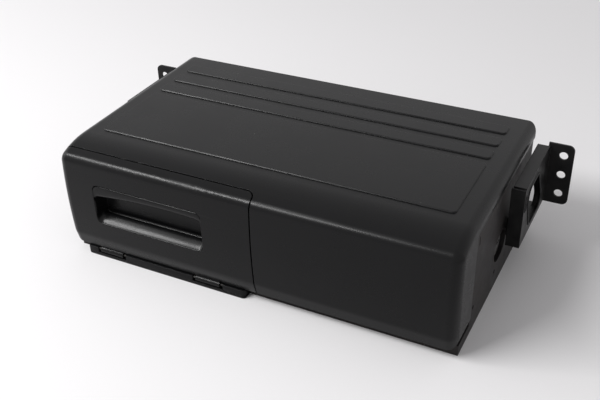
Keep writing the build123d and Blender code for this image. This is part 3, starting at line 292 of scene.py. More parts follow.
def moulded_acetal(name, colour, edge, roughness=0.38):
    """Acetal, injection moulded: waxy and slightly see-through, with faint flow marks."""
    material, tree = new_material(name)
    place = add_node(tree, "ShaderNodeTexCoord").outputs["Object"]
    flow = add_node(tree, "ShaderNodeTexNoise", inputs={
        "Vector": place, "Scale": 1.0 / (9 * MM), "Detail": 2.0})
    marks = add_node(tree, "ShaderNodeMapRange", inputs={
        "Value": flow.outputs["Fac"], "From Min": NOISE_LOW, "From Max": NOISE_HIGH, "To Max": 0.2})
    gloss = add_node(tree, "ShaderNodeMapRange", inputs={
        "Value": flow.outputs["Fac"], "From Min": NOISE_LOW, "From Max": NOISE_HIGH,
        "To Min": roughness - 0.04, "To Max": roughness + 0.06})
    base = add_node(tree, "ShaderNodeMix", {"data_type": "RGBA"}, {
        0: marks.outputs["Result"], 6: linear(colour), 7: linear("#8F8D88")})
    soft = add_node(tree, "ShaderNodeBevel", EDGE_SAMPLES, {"Radius": edge})
    shader = add_node(tree, "ShaderNodeBsdfPrincipled", inputs={
        "Base Color": base.outputs[2], "Roughness": gloss.outputs["Result"], "IOR": 1.48,
        "Subsurface Weight": 0.1, "Subsurface Radius": (0.6 * MM, 0.6 * MM, 0.5 * MM),
        "Normal": soft.outputs["Normal"]})
    add_node(tree, "ShaderNodeOutputMaterial", inputs={"Surface": shader.outputs[0]})
    return material


def circuit_laminate(name, edge):
    """Glass-fibre board under green solder mask: the copper tracks show through as lighter lines."""
    material, tree = new_material(name)
    place = add_node(tree, "ShaderNodeTexCoord").outputs["Object"]
    tracks = add_node(tree, "ShaderNodeTexBrick", {"offset": 0.5, "squash": 1.0}, {
        "Vector": place, "Scale": 1.0 / (6 * MM), "Mortar Size": 0.08, "Brick Width": 1.4,
        "Row Height": 0.35,
        "Color1": linear("#14502B"), "Color2": linear("#16552E"), "Mortar": linear("#2B7A45")})
    soft = add_node(tree, "ShaderNodeBevel", EDGE_SAMPLES, {"Radius": edge})
    shader = add_node(tree, "ShaderNodeBsdfPrincipled", inputs={
        "Base Color": tracks.outputs["Color"], "Roughness": 0.28, "IOR": 1.5,
        "Normal": soft.outputs["Normal"]})
    add_node(tree, "ShaderNodeOutputMaterial", inputs={"Surface": shader.outputs[0]})
    return material


def butyl_rubber(name, edge):
    """Moulded butyl rubber: dull, with a grey bloom."""
    material, tree = new_material(name)
    place = add_node(tree, "ShaderNodeTexCoord").outputs["Object"]
    cloud = add_node(tree, "ShaderNodeTexNoise", inputs={
        "Vector": place, "Scale": 1.0 / (5 * MM), "Detail": 3.0})
    bloom = add_node(tree, "ShaderNodeMapRange", inputs={
        "Value": cloud.outputs["Fac"], "From Min": NOISE_LOW, "From Max": NOISE_HIGH, "To Max": 0.3})
    base = add_node(tree, "ShaderNodeMix", {"data_type": "RGBA"}, {
        0: bloom.outputs["Result"], 6: linear("#191919"), 7: linear("#3A3937")})
    soft = add_node(tree, "ShaderNodeBevel", EDGE_SAMPLES, {"Radius": edge})
    shader = add_node(tree, "ShaderNodeBsdfPrincipled", inputs={
        "Base Color": base.outputs[2], "Roughness": 0.78, "IOR": 1.5,
        "Normal": soft.outputs["Normal"]})
    add_node(tree, "ShaderNodeOutputMaterial", inputs={"Surface": shader.outputs[0]})
    return material


def coated_lens(name):
    """Moulded acrylic lens: its antireflective coat gives a blue cast and a sharp glint."""
    material, tree = new_material(name)
    place = add_node(tree, "ShaderNodeTexCoord").outputs["Object"]
    coat = add_node(tree, "ShaderNodeTexNoise", inputs={"Vector": place, "Scale": 1.0 / (2 * MM)})
    shade = add_node(tree, "ShaderNodeMix", {"data_type": "RGBA"}, {
        0: coat.outputs["Fac"], 6: linear("#39507E"), 7: linear("#5A6FA0")})
    shader = add_node(tree, "ShaderNodeBsdfPrincipled", inputs={
        "Base Color": shade.outputs[2], "Roughness": 0.05, "IOR": 1.49,
        "Coat Weight": 1.0, "Coat Roughness": 0.03})
    add_node(tree, "ShaderNodeOutputMaterial", inputs={"Surface": shader.outputs[0]})
    return material


def studio_paper(name, colour, far_glow):
    """Matt backdrop paper with a faint fibre; it stays pale where the lamps don't reach."""
    material, tree = new_material(name)
    place = add_node(tree, "ShaderNodeTexCoord").outputs["Object"]
    fibre = add_node(tree, "ShaderNodeTexNoise", inputs={
        "Vector": place, "Scale": 1.0 / (3 * MM), "Detail": 3.0})
    felt = add_node(tree, "ShaderNodeMapRange", inputs={
        "Value": fibre.outputs["Fac"], "To Max": 0.06})
    base = add_node(tree, "ShaderNodeMix", {"data_type": "RGBA"}, {
        0: felt.outputs["Result"], 6: linear(colour), 7: linear("#DEDCDA")})
    distance = add_node(tree, "ShaderNodeVectorMath", {"operation": "LENGTH"}, {0: place})
    far = add_node(tree, "ShaderNodeMapRange", {"interpolation_type": "SMOOTHSTEP"}, {
        "Value": distance.outputs["Value"], "From Min": LAMPS_REACH[0], "From Max": LAMPS_REACH[1],
        "To Max": far_glow})
    path = add_node(tree, "ShaderNodeLightPath")
    direct = add_node(tree, "ShaderNodeMath", {"operation": "MAXIMUM"}, {
        0: path.outputs["Is Camera Ray"], 1: path.outputs["Is Transmission Ray"]})
    seen = add_node(tree, "ShaderNodeMath", {"operation": "MAXIMUM"}, {
        0: direct.outputs[0], 1: path.outputs["Is Glossy Ray"]})
    glow = add_node(tree, "ShaderNodeMath", {"operation": "MULTIPLY"}, {
        0: far.outputs["Result"], 1: seen.outputs[0]})
    shader = add_node(tree, "ShaderNodeBsdfPrincipled", inputs={
        "Base Color": base.outputs[2], "Roughness": 0.9, "Specular IOR Level": 0.1,
        "Emission Color": linear(colour), "Emission Strength": glow.outputs[0]})
    add_node(tree, "ShaderNodeOutputMaterial", inputs={"Surface": shader.outputs[0]})
    return material


# ------------------------------------------------------------------ mesh helpers, in mm
def circle_through(points):
    """Centre and radius of the circle through three points."""
    a, b, c = (complex(*p) for p in points)
    u, v = b - a, c - a
    spread = 2 * (u.real * v.imag - u.imag * v.real)
    centre = a + (v * abs(u) ** 2 - u * abs(v) ** 2) / (spread * 1j)
    return centre, abs(a - centre)


FRONT_CENTRE, FRONT_RADIUS = circle_through(FRONT_POINTS)


def face_y(z):
    """Place of the bowed front at a height."""
    return CHORD_Y + FRONT_CENTRE.real - math.sqrt(FRONT_RADIUS ** 2 - (z - FRONT_CENTRE.imag) ** 2)


def rounded_loop(corners, radii, steps=6):
    """A closed loop whose corners are rounded, each by its own radius."""
    points = []
    for i, corner in enumerate(corners):
        here = complex(*corner)
        back = complex(*corners[i - 1]) - here
        ahead = complex(*corners[(i + 1) % len(corners)]) - here
        back, ahead = back / abs(back), ahead / abs(ahead)
        half = math.acos(max(-1.0, min(1.0, (back * ahead.conjugate()).real))) / 2
        middle = (back + ahead) / abs(back + ahead)
        centre = here + middle * radii[i] / math.sin(half)
        start = here + back * radii[i] / math.tan(half) - centre
        end = here + ahead * radii[i] / math.tan(half) - centre
        sweep = math.atan2((end * start.conjugate()).imag, (end * start.conjugate()).real)
        for k in range(steps + 1):
            p = centre + start * complex(math.cos(sweep * k / steps), math.sin(sweep * k / steps))
            points.append((p.real, p.imag))
    return points


def circle(centre, radius, count=32):
    """A closed ring of points."""
    turns = [2 * math.pi * i / count for i in range(count)]
    return [(centre[0] + radius * math.cos(a), centre[1] + radius * math.sin(a)) for a in turns]


def within(point, loop):
    """Whether a point lies inside a closed loop."""
    hit = False
    for a, b in zip(loop, loop[1:] + loop[:1]):
        if (a[1] > point[1]) != (b[1] > point[1]):
            if point[0] < (b[0] - a[0]) * (point[1] - a[1]) / (b[1] - a[1]) + a[0]:
                hit = not hit
    return hit


def inset(loop, distance):
    """A loop that turns left, moved inwards by a distance."""
    moved = []
    for i, corner in enumerate(loop):
        here = complex(*corner)
        back = here - complex(*loop[i - 1])
        ahead = complex(*loop[(i + 1) % len(loop)]) - here
        normal = (back / abs(back) + ahead / abs(ahead)) * 1j
        normal /= abs(normal)
        stretch = max((normal * (back / abs(back) * 1j).conjugate()).real, 0.5)
        p = here + normal * distance / stretch
        moved.append((p.real, p.imag))
    return moved


def filled(loops):
    """Points and triangles of the region inside the first loop and outside the others."""
    corners = [Vector(p) for loop in loops for p in loop]
    edges = []
    start = 0
    for loop in loops:
        edges += [(start + i, start + (i + 1) % len(loop)) for i in range(len(loop))]
        start += len(loop)
    found = geometry.delaunay_2d_cdt(corners, edges, [list(range(len(loops[0])))], 1, 1e-4)
    triangles = []
    for face in found[2]:
        middle = [sum(found[0][i][k] for i in face) / len(face) for k in (0, 1)]
        if not any(within(middle, hole) for hole in loops[1:]):
            triangles.append(list(face))
    return [tuple(p) for p in found[0]], triangles


WELD_MM = 0.003                 # points of a finished mesh this near to each other become one


def join_rings(form, low, high):
    """Faces between two rings of as many points."""
    for i in range(len(low)):
        j = (i + 1) % len(low)
        form.faces.new((low[i], low[j], high[j], high[i]))


def cap(form, loops, height, to_space):
    """A flat face inside the first loop and outside the others."""
    points, triangles = filled(loops)
    made = [form.verts.new(to_space(p, height)) for p in points]
    for triangle in triangles:
        form.faces.new([made[i] for i in triangle])


def slab(form, loop, levels, to_space):
    """Stacks insets of a loop at levels (height, inset) and closes both ends."""
    outlines = [(height, inset(loop, shrink) if shrink else loop) for height, shrink in levels]
    rings = [[form.verts.new(to_space(p, height)) for p in outline] for height, outline in outlines]
    for low, high in zip(rings, rings[1:]):
        join_rings(form, low, high)
    for height, outline in (outlines[0], outlines[-1]):
        cap(form, [outline], height, to_space)


def finish_mesh(form, name, material, smooth_angle=35.0):
    """Cleans a bmesh in millimetres and turns it into an object with its material."""
    bmesh.ops.remove_doubles(form, verts=form.verts, dist=WELD_MM)
    bmesh.ops.recalc_face_normals(form, faces=form.faces)
    bmesh.ops.scale(form, vec=(MM, MM, MM), verts=form.verts)
    mesh = bpy.data.meshes.new(name)
    form.to_mesh(mesh)
    form.free()
    mesh.shade_smooth()
    mesh.set_sharp_from_angle(angle=math.radians(smooth_angle))
    mesh.materials.append(material)
    piece = bpy.data.objects.new(name, mesh)
    bpy.context.collection.objects.link(piece)
    return piece


def evaluated(piece):
    """Puts the result of a piece's modifiers into its mesh."""
    graph = bpy.context.evaluated_depsgraph_get()
    mesh = bpy.data.meshes.new_from_object(piece.evaluated_get(graph))
    piece.modifiers.clear()
    piece.data = mesh
    return piece


def box_mm(node):
    """Lowest and highest corner of a node, in mm."""
    return [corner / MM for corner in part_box(node)]


# ------------------------------------------------------------------ outer case
MERGE_MM = 0.002                # the same for a node's own points, before the rounding
FLAT_ANGLE = math.radians(0.03)     # faces this near to one plane are joined
EDGE_ANGLE = math.radians(32.0)     # edges sharper than this are rounded
EDGE_ANGLE_SHADED = 40.0        # degrees; gentler edges look round


def rounded_edges(node, name, radius, material):
    """The node's own form, its sharp edges rounded as far as its small triangles allow."""
    form = bmesh.new()
    form.from_mesh(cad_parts[node].data)
    bmesh.ops.remove_doubles(form, verts=form.verts, dist=MERGE_MM * MM)
    bmesh.ops.dissolve_limit(form, angle_limit=FLAT_ANGLE, verts=form.verts, edges=form.edges)
    shared = [edge for edge in form.edges if edge.is_manifold]
    sharp = [edge for edge in shared if edge.calc_face_angle() > EDGE_ANGLE]
    bmesh.ops.bevel(form, geom=sharp, offset=radius, offset_type="OFFSET", segments=3, profile=0.5,
                    affect="EDGES", clamp_overlap=True)
    bmesh.ops.scale(form, vec=(1 / MM, 1 / MM, 1 / MM), verts=form.verts)
    piece = finish_mesh(form, name, material, EDGE_ANGLE_SHADED)
    shading = piece.modifiers.new("flat_faces_stay_flat", "WEIGHTED_NORMAL")
    shading.keep_sharp = True
    return evaluated(piece)


# ------------------------------------------------------------------ finger pull
PULL_LOW, PULL_HIGH = box_mm("door_pull")
PULL_CORNER = 5.0               # corners of the opening
PULL_WALL_RUN = 1.6             # over which the pocket's side walls fall to their full depth
WALL_EASE = 2.5                 # power that makes them fall steeply at first
LIP_MIDDLE_X = PULL_LOW.x + 63.0
LIP_HALF_SPAN = 60.0
LIP_DROP = 6.2                  # from the opening's upper edge to the lip's lower one
COLUMN_STEPS = 14               # even steps between the opening's rounded ends
NEAR_END = (0.0, 0.15, 0.5, 1.0, 1.6, 2.4, 3.3, 4.2, PULL_CORNER)      # columns from each end

# The pocket's section, run by run, each point a depth and a height.
# The lower rim: shares of the rim's rounding, from the front face and the opening's lower edge.
LOWER_RIM = ((0.0, 0.0), (0.15, 0.5), (1.0, 1.0), (2.2, 1.6))
# Slope, groove and back: depth from the chord, height over the opening's lower edge.
SLOPE_AND_BACK = (
    (-0.6, 1.8), (1.2, 3.0), (3.0, 4.2), (4.6, 5.1), (5.8, 5.4), (6.8, 5.0), (7.5, 4.0), (8.5, 3.4),
    (9.3, 4.0), (9.5, 5.6), (9.4, 12.0), (9.2, 20.0))
# Roof: depth from the chord, height over the lip's lower edge.
ROOF = ((8.9, -1.5), (8.2, 1.2), (6.6, 2.4), (4.0, 2.7), (1.6, 2.5), (0.2, 1.8))
# Lip and its top: depth from the front face, height over the lip's lower edge.
LIP = ((2.4, 0.7), (1.7, 0.0), (1.1, 0.2), (0.6, 1.0))
LIP_FACE = 2.0                  # height over that edge at which the face is read for the lip
LIP_TOP = (0.25, 2.6)
LIP_TOP_FACE = 3.0              # and for its top
# Upper rim: depth from the front face, distance under the opening's upper edge.
UPPER_RIM = ((0.1, 2.2), (0.2, 1.6), (0.6, 1.05), (1.2, 0.8), (1.3, 0.45), (0.9, 0.1), (0.0, 0.0))


def lip_edge(x, arch):
    """Height of the grip lip's lower edge, highest right of the middle."""
    return PULL_HIGH.z - LIP_DROP - arch * ((x - LIP_MIDDLE_X) / LIP_HALF_SPAN) ** 2


def pull_section(x, arch, rim):
    """The pocket's section from its lower rim round to the upper one: depth and height."""
    low, high = PULL_LOW.z, PULL_HIGH.z
    lip = lip_edge(x, arch)
    face_low, face_high = face_y(low) - CHORD_Y, face_y(high) - CHORD_Y
    lip_face = face_y(lip + LIP_FACE) - CHORD_Y
    section = [(face_low + d * rim, low + h * rim) for d, h in LOWER_RIM]
    section += [(d, low + h) for d, h in SLOPE_AND_BACK]
    section += [(d, lip + h) for d, h in ROOF]
    section += [(lip_face + d, lip + h) for d, h in LIP]
    section.append((face_y(lip + LIP_TOP_FACE) - CHORD_Y + LIP_TOP[0], lip + LIP_TOP[1]))
    return section + [(face_high + d, high - h) for d, h in UPPER_RIM]


def pull_columns():
    """Places across the opening: close at its rounded ends, then even."""
    span = PULL_HIGH.x - PULL_LOW.x - 2 * PULL_CORNER
    even = [PULL_CORNER + span * i / COLUMN_STEPS for i in range(1, COLUMN_STEPS)]
    places = [PULL_LOW.x + d for d in list(NEAR_END) + even]
    return places + [PULL_HIGH.x - d for d in reversed(NEAR_END)]


def make_pull(pull, material):
    """The pull as one sheet over its sections, thickened behind."""
    form = bmesh.new()
    middle = (PULL_LOW.z + PULL_HIGH.z) / 2
    half = (PULL_HIGH.z - PULL_LOW.z) / 2
    columns = []
    for x in pull_columns():
        edge = min(x - PULL_LOW.x, PULL_HIGH.x - x)
        tuck = PULL_CORNER - math.sqrt(PULL_CORNER ** 2 - max(PULL_CORNER - edge, 0.0) ** 2)
        fall = min(edge / PULL_WALL_RUN, 1.0)
        sink = 1 - (1 - fall) ** WALL_EASE
        column = []
        section = pull_section(x, pull.lip_arch / MM, pull.rim / MM)
        # towards the wall the rows even out, so that they don't fold over
        for i, (depth, z) in enumerate(section):
            even = PULL_LOW.z + 2 * half * i / (len(section) - 1)
            z = even + (z - even) * sink
            height = middle + (z - middle) * (half - tuck) / half
            surface = face_y(height) - CHORD_Y
            deep = surface + max(depth - surface, 0.0) * sink
            column.append(form.verts.new((x, CHORD_Y + deep, height)))
        columns.append(column)
    for left, right in zip(columns, columns[1:]):
        for i in range(len(left) - 1):
            form.faces.new((left[i], right[i], right[i + 1], left[i + 1]))
    piece = finish_mesh(form, "finger_pull", material, smooth_angle=48.0)
    if sum(p.normal.y * p.area for p in piece.data.polygons) > 0:
        piece.data.flip_normals()
    backing = piece.modifiers.new("backing", "SOLIDIFY")
    backing.thickness = pull.wall
    backing.offset = -1.0
    return evaluated(piece)


# ------------------------------------------------------------------ front sill under the door
SILL_LOW, SILL_HIGH = box_mm("front_sill")
SILL_CORNER = 3.0
SILL_REAR_CORNER = 0.5
NOTCH_CORNER = 0.8
NOTCH_WIDTH = 25.0
NOTCH_DEPTH = 6.0
NOTCH_FLOOR = SILL_LOW.z + 2.8
NOTCH_X = (SILL_LOW.x + 22.5, SILL_HIGH.x - 31.0)       # middles of the notches for the door's arms
EDGE_STEPS = ((0.0, 0.6), (0.18, 0.18), (0.6, 0.0))     # a rounded edge: height and inset
DRIP_GROOVE = ((1.5, 0.0), (1.65, 0.5), (2.3, 0.5), (2.45, 0.0))        # likewise
LEDGE_CHAMFER = 0.25


def make_sill(material):
    """A base with a drip groove in front, and a ledge on it with notches for the hinge arms."""
    left, right, front, rear = SILL_LOW.x, SILL_HIGH.x, SILL_LOW.y, SILL_HIGH.y
    form = bmesh.new()
    outline = rounded_loop([(left, front), (right, front), (right, rear), (left, rear)],
                           [SILL_CORNER, SILL_CORNER, SILL_REAR_CORNER, SILL_REAR_CORNER])
    levels = [(SILL_LOW.z + h, s) for h, s in EDGE_STEPS]
    levels += [(SILL_LOW.z + h, s) for h, s in DRIP_GROOVE]
    levels.append((NOTCH_FLOOR, 0.0))
    slab(form, outline, levels, lambda p, height: (p[0], p[1], height))
    base = finish_mesh(form, "sill_base", material)
    form = bmesh.new()
    ledge = [(left, front)]
    radii = [SILL_CORNER]
    for middle in NOTCH_X:
        a, b = middle - NOTCH_WIDTH / 2, middle + NOTCH_WIDTH / 2
        ledge += [(a, front), (a, front + NOTCH_DEPTH), (b, front + NOTCH_DEPTH), (b, front)]
        radii += [NOTCH_CORNER] * 4
    ledge += [(right, front), (right, rear), (left, rear)]
    radii += [SILL_CORNER, SILL_REAR_CORNER, SILL_REAR_CORNER]
    levels = [(NOTCH_FLOOR, LEDGE_CHAMFER), (NOTCH_FLOOR + LEDGE_CHAMFER, 0.0)]
    levels += [(SILL_HIGH.z - h, s) for h, s in reversed(EDGE_STEPS)]
    slab(form, rounded_loop(ledge, radii, 4), levels, lambda p, height: (p[0], p[1], height))
    return base, finish_mesh(form, "sill_ledge", material)


# ------------------------------------------------------------------ screws
BRACKET_HEAD = 2.0              # height of the bracket screws' heads
REAR_HEAD = 1.3                 # height of the rear screws' heads
REAR_HEAD_R = 3.0
DOME = ((0.62, 0.0), (0.85, 0.07), (1.0, 0.2))      # shares: of the head's height, and of its radius
RECESS_REACH = 0.62             # of a cross, as a share of the head's radius


def cross(width, reach):
    """The outline of a cross recess."""
    w = width / 2
    return [(w, w), (w, reach), (-w, reach), (-w, w), (-reach, w), (-reach, -w),
            (-w, -w), (-w, -reach), (w, -reach), (w, -w), (reach, -w), (reach, w)]


def screw_heads(name, seats, radius, rise, screw, material):
    """Pan heads on their seats: a domed ring round a cross, over a floor at the recess's depth."""
    form = bmesh.new()
    floor = rise - screw.recess_depth / MM
    for seat, across, along, out in seats:
        def to_space(p, height):
            return seat + across * p[0] + along * p[1] + out * height
        slab(form, circle((0, 0), radius), [(0.0, 0.0), (floor, 0.0)], to_space)
        dome = [(floor, 0.0)] + [(rise * height, radius * shrink) for height, shrink in DOME]
        recess = list(reversed(cross(screw.recess_width / MM, radius * RECESS_REACH)))
        rings = []
        for height, shrink in dome:
            ring = circle((0, 0), radius - shrink)
            rings.append([form.verts.new(to_space(p, height)) for p in ring])
        for low, high in zip(rings, rings[1:]):
            join_rings(form, low, high)
        walls = [[form.verts.new(to_space(p, height)) for p in recess] for height in (floor, rise)]
        join_rings(form, *walls)
        cap(form, [circle((0, 0), radius - dome[-1][1]), recess], rise, to_space)
        cap(form, [circle((0, 0), radius), recess], floor, to_space)
    return finish_mesh(form, name, material, smooth_angle=40.0)


def make_screws(screw, material):
    """Two heads on each bracket's foot and four on the rear panel."""
    low, high = box_mm("bracket_screws")
    radius = (high.z - low.z) / 2
    pieces = []
    seats = []
    for side in (-1, 1):
        for y in (low.y + radius, high.y - radius):
            seat = Vector((side * (high.x - BRACKET_HEAD), y, low.z + radius))
            seats.append((seat, Vector((0, 1, 0)), Vector((0, 0, side)), Vector((side, 0, 0))))
    pieces.append(screw_heads("bracket_pan_screws", seats, radius, BRACKET_HEAD, screw, material))
    low, high = box_mm("rear_screws")
    seats = []
    for x in (low.x + REAR_HEAD_R, high.x - REAR_HEAD_R):
        for z in (low.z + REAR_HEAD_R, high.z - REAR_HEAD_R):
            seat = Vector((x, high.y - REAR_HEAD, z))
            seats.append((seat, Vector((-1, 0, 0)), Vector((0, 0, 1)), Vector((0, 1, 0))))
    pieces.append(screw_heads("rear_pan_screws", seats, REAR_HEAD_R, REAR_HEAD, screw, material))
    return pieces


# ------------------------------------------------------------------ rolled bracket edges
BRACKET_LOW = box_mm("bracket_right")[0]
PLATE_OUT = BRACKET_LOW.x + 12.8        # outer face of the upright plate
ROLL_R = 0.85                   # half the width of the rolled edge
SLOT_ROLL_R = ROLL_R * 0.6
BEAD_SIDES = 10
# corners of the window and of the small slot in front of it, from the plate's lower front corner
WINDOW = ((6.0, 43.5), (37.0, 43.5), (59.5, 7.0), (21.0, 7.0))
WINDOW_CORNER = 7.0
SLOT = ((2.2, 29.0), (6.6, 29.0), (6.6, 42.0), (2.2, 42.0))
SLOT_CORNER = 2.15


def rolled_edge(name, loop, side, radius, material):
    """A round bead that follows a loop on the outside of a bracket's plate."""
    form = bmesh.new()
    rings = []
    for i, corner in enumerate(loop):
        here = complex(*corner)
        ahead = complex(*loop[(i + 1) % len(loop)]) - complex(*loop[i - 1])
        normal = ahead / abs(ahead) * 1j
        ring = []
        for k in range(BEAD_SIDES):
            turn = 2 * math.pi * k / BEAD_SIDES
            off = here + normal * radius * math.cos(turn)
            x = PLATE_OUT + radius * math.sin(turn)
            place = (side * x, BRACKET_LOW.y + off.real, BRACKET_LOW.z + off.imag)
            ring.append(form.verts.new(place))
        rings.append(ring)
    for ring, onward in zip(rings, rings[1:] + rings[:1]):
        join_rings(form, ring, onward)
    return finish_mesh(form, name, material, smooth_angle=60.0)


def make_rolled_edges(material):
    """The window's and the slot's rolled edge on both brackets."""
    pieces = []
    for side, hand in ((-1, "left"), (1, "right")):
        window = rounded_loop(WINDOW, [WINDOW_CORNER] * 4, 10)
        pieces.append(rolled_edge(f"window_roll_{hand}", window, side, ROLL_R, material))
        slot = rounded_loop(SLOT, [SLOT_CORNER] * 4, 8)
        pieces.append(rolled_edge(f"slot_roll_{hand}", slot, side, SLOT_ROLL_R, material))
    return pieces


# ------------------------------------------------------------------ finishes
# what each node is made of
FINISHES = {
    "cover_abs": ["top_cover"],
    "door_abs": ["magazine_door"],
    "chassis_enamel": ["chassis_tray", "rear_panel"],
    "bracket_enamel": ["bracket_left", "bracket_right"],
    "magazine_abs": ["magazine_case", "bay_frame", "pickup_block"],
    "tray_acetal": [f"tray_{i:02d}" for i in range(1, 11)],
    "white_acetal": ["bay_rail_left", "bay_rail_right", "bay_stop", "clamper", "sled_holders"],
    "dial_acetal": ["tilt_dial_left", "tilt_dial_right"],
    "button_abs": ["eject_button"],
    "zinc_sheet": ["bay_shelf", "lift_frame", "deck_plate", "clamp_arm"],
    "screw_oxide": ["hinge_pins"],
    "ground_steel": ["guide_rods", "lift_screw", "clamp_pin", "sled_rods", "sled_screw"],
    "nickel_can": ["lift_motor", "spindle_motor", "sled_motor"],
    "circuit_board": ["main_board"],
    "epoxy_black": ["board_chips", "eject_switch", "turntable", "data_socket"],
    "shrink_sleeve": ["board_capacitors"],
    "damper_rubber": ["dampers"],
    "gilt_brass": ["audio_sockets"],
    "lens": ["pickup_lens"],
}


def make_finishes(finish):
    """Every material of the object by name."""
    edge = finish.edge_radius
    grain = finish.spark_grain
    return {
        "cover_abs": moulded_abs(
            "abs_spark_eroded_cover", finish.abs_colour, grain, edge, 0.27, 0.5),
        "door_abs": moulded_abs("abs_spark_eroded_door", finish.abs_colour, grain, edge, 0.27, 0.2),
        "pull_abs": moulded_abs("abs_moulded_pull", finish.abs_colour, grain, edge, 0.25, 0.0),
        "sill_abs": moulded_abs("abs_moulded_sill", finish.abs_colour, grain, edge, 0.4, 0.0),
        "magazine_abs": moulded_abs("abs_moulded_magazine", "#232325", grain, edge, 0.45, 0.0),
        "button_abs": moulded_abs("abs_moulded_button", "#6C6C6E", grain, edge, 0.4, 0.0),
        "chassis_enamel": stove_enamel("stoving_enamel_chassis", finish.paint_colour, edge, 0.5),
        "bracket_enamel": stove_enamel(
            "stoving_enamel_bracket", finish.bracket_colour, edge, 0.4, "#3A3836"),
        "screw_oxide": stove_enamel("black_oxide_screw", "#1E1D1C", edge, 0.36),
        "tray_acetal": moulded_acetal("acetal_moulded_tray", "#57575A", edge),
        "white_acetal": moulded_acetal("acetal_moulded_natural", "#DAD8D0", edge),
        "dial_acetal": moulded_acetal("acetal_moulded_dial", "#2C2B2B", edge),
        "zinc_sheet": zinc_plated_sheet("zinc_plated_sheet", edge),
        "ground_steel": turned_metal("ground_steel", "#C2C1BE", edge),
        "nickel_can": turned_metal("nickel_plated_can", "#B5B2A8", edge, 0.3),
        "gilt_brass": turned_metal("gilt_brass_turned", "#D9B15C", edge, 0.2),
        "circuit_board": circuit_laminate("solder_masked_laminate", edge),
        "epoxy_black": moulded_abs("epoxy_transfer_moulded", "#161616", grain, edge, 0.4, 0.0),
        "shrink_sleeve": moulded_abs("pvc_shrink_sleeve", "#1C2A55", grain, edge, 0.25, 0.0),
        "damper_rubber": butyl_rubber("butyl_rubber_moulded", edge),
        "lens": coated_lens("acrylic_lens_coated"),
    }


MATERIALS = {}          # filled by the finishes operator, used by the pieces
# node, piece, body, edge setting, finish, slot
CASE_COPIES = (
    ("top_cover", "moulded_cover", "case", "moulded", "cover_abs", "cover_abs"),
    ("magazine_door", "moulded_door", "door", "moulded", "door_abs", "door_abs"),
    ("bracket_left", "pressed_bracket_left", "case", "pressed", "bracket_enamel", "bracket_paint"),
    ("bracket_right", "pressed_bracket_right", "case", "pressed", "bracket_enamel", "bracket_paint"),
)


# ------------------------------------------------------------------ operators
class CHANGER_OT_finishes(bpy.types.Operator):
    """Give every carried-over node its material"""
    bl_idname = "changer.finishes"
    bl_label = "Finishes"

    def execute(self, context):
        MATERIALS.update(make_finishes(context.scene.changer_finish))
        for finish, nodes in FINISHES.items():
            for name in nodes:
                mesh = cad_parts[name].data
                mesh.materials.clear()
                mesh.materials.append(MATERIALS[finish])
        return {"FINISHED"}


class CHANGER_OT_case(bpy.types.Operator):
    """Copy the cover, the door and the brackets with their edges eased"""
    bl_idname = "changer.case"
    bl_label = "Outer case"

    def execute(self, context):
        edges = context.scene.changer_edges
        for node, name, body, edge, finish, slot in CASE_COPIES:
            piece = rounded_edges(node, name, getattr(edges, edge), MATERIALS[finish])
            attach(piece, body)
            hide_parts(node)
        return {"FINISHED"}


class CHANGER_OT_pull(bpy.types.Operator):
    """Mould the finger pull into the magazine door"""
    bl_idname = "changer.pull"
    bl_label = "Finger pull"

    def execute(self, context):
        piece = make_pull(context.scene.changer_pull, MATERIALS["pull_abs"])
        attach(piece, "door")
        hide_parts("door_pull")
        return {"FINISHED"}


class CHANGER_OT_sill(bpy.types.Operator):
    """Set the notched sill under the door"""
    bl_idname = "changer.sill"
    bl_label = "Front sill"

    def execute(self, context):
        for piece in make_sill(MATERIALS["sill_abs"]):
            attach(piece, "case")
            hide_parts("front_sill")
        return {"FINISHED"}


class CHANGER_OT_screws(bpy.types.Operator):
    """Drive the pan-head screws of the brackets and the rear panel"""
    bl_idname = "changer.screws"
    bl_label = "Screws"

    def execute(self, context):
        nodes = ("bracket_screws", "rear_screws")
        pieces = make_screws(context.scene.changer_screw, MATERIALS["screw_oxide"])
        for piece, node in zip(pieces, nodes):
            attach(piece, "case")
            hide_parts(node)
        return {"FINISHED"}


class CHANGER_OT_rolled_edges(bpy.types.Operator):
    """Roll the edges of the openings in the side brackets"""
    bl_idname = "changer.rolled_edges"
    bl_label = "Rolled bracket edges"

    def execute(self, context):
        for piece in make_rolled_edges(MATERIALS["bracket_enamel"]):
            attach(piece, "case")
        return {"FINISHED"}


class CHANGER_OT_stage(bpy.types.Operator):
    """Set the floor, the lamps, the white room and the camera"""
    bl_idname = "changer.stage"
    bl_label = "Stage"

    def execute(self, context):
        stage = context.scene.changer_stage
        make_floor(stage)
        make_lamps(stage)
        make_world(stage)
        make_camera()
        context.scene.view_settings.view_transform = "Standard"
        return {"FINISHED"}


# each lamp's place, target and size, in metres
SOFTBOX = ((-1.6, -0.3, 0.8), (0.0, 0.0, 0.03), (0.9, 0.9))
STRIP = ((-0.75, -0.8, 1.12), (0.0, -0.05, 0.05), (0.95, 0.11))
FLOOR_TILES = 12                # along each side of the floor


def make_floor(stage):
    """A flat paper floor."""
    form = bmesh.new()
    bmesh.ops.create_grid(form, x_segments=FLOOR_TILES, y_segments=FLOOR_TILES,
                          size=stage.floor_size / MM / 2)
    paper = studio_paper("backdrop_paper", stage.floor_colour, stage.far_glow)
    floor = finish_mesh(form, "floor", paper)


def add_lamp(name, place_m, target, size, power):
    """A soft rectangular lamp that faces its target."""
    lamp = bpy.data.lights.new(name, "AREA")
    lamp.shape = "RECTANGLE"
    lamp.size, lamp.size_y = size
    lamp.energy = power
    holder = bpy.data.objects.new(name, lamp)
    holder.location = place_m
    holder.rotation_euler = (Vector(target) - Vector(place_m)).to_track_quat("-Z", "Y").to_euler()
    bpy.context.collection.objects.link(holder)


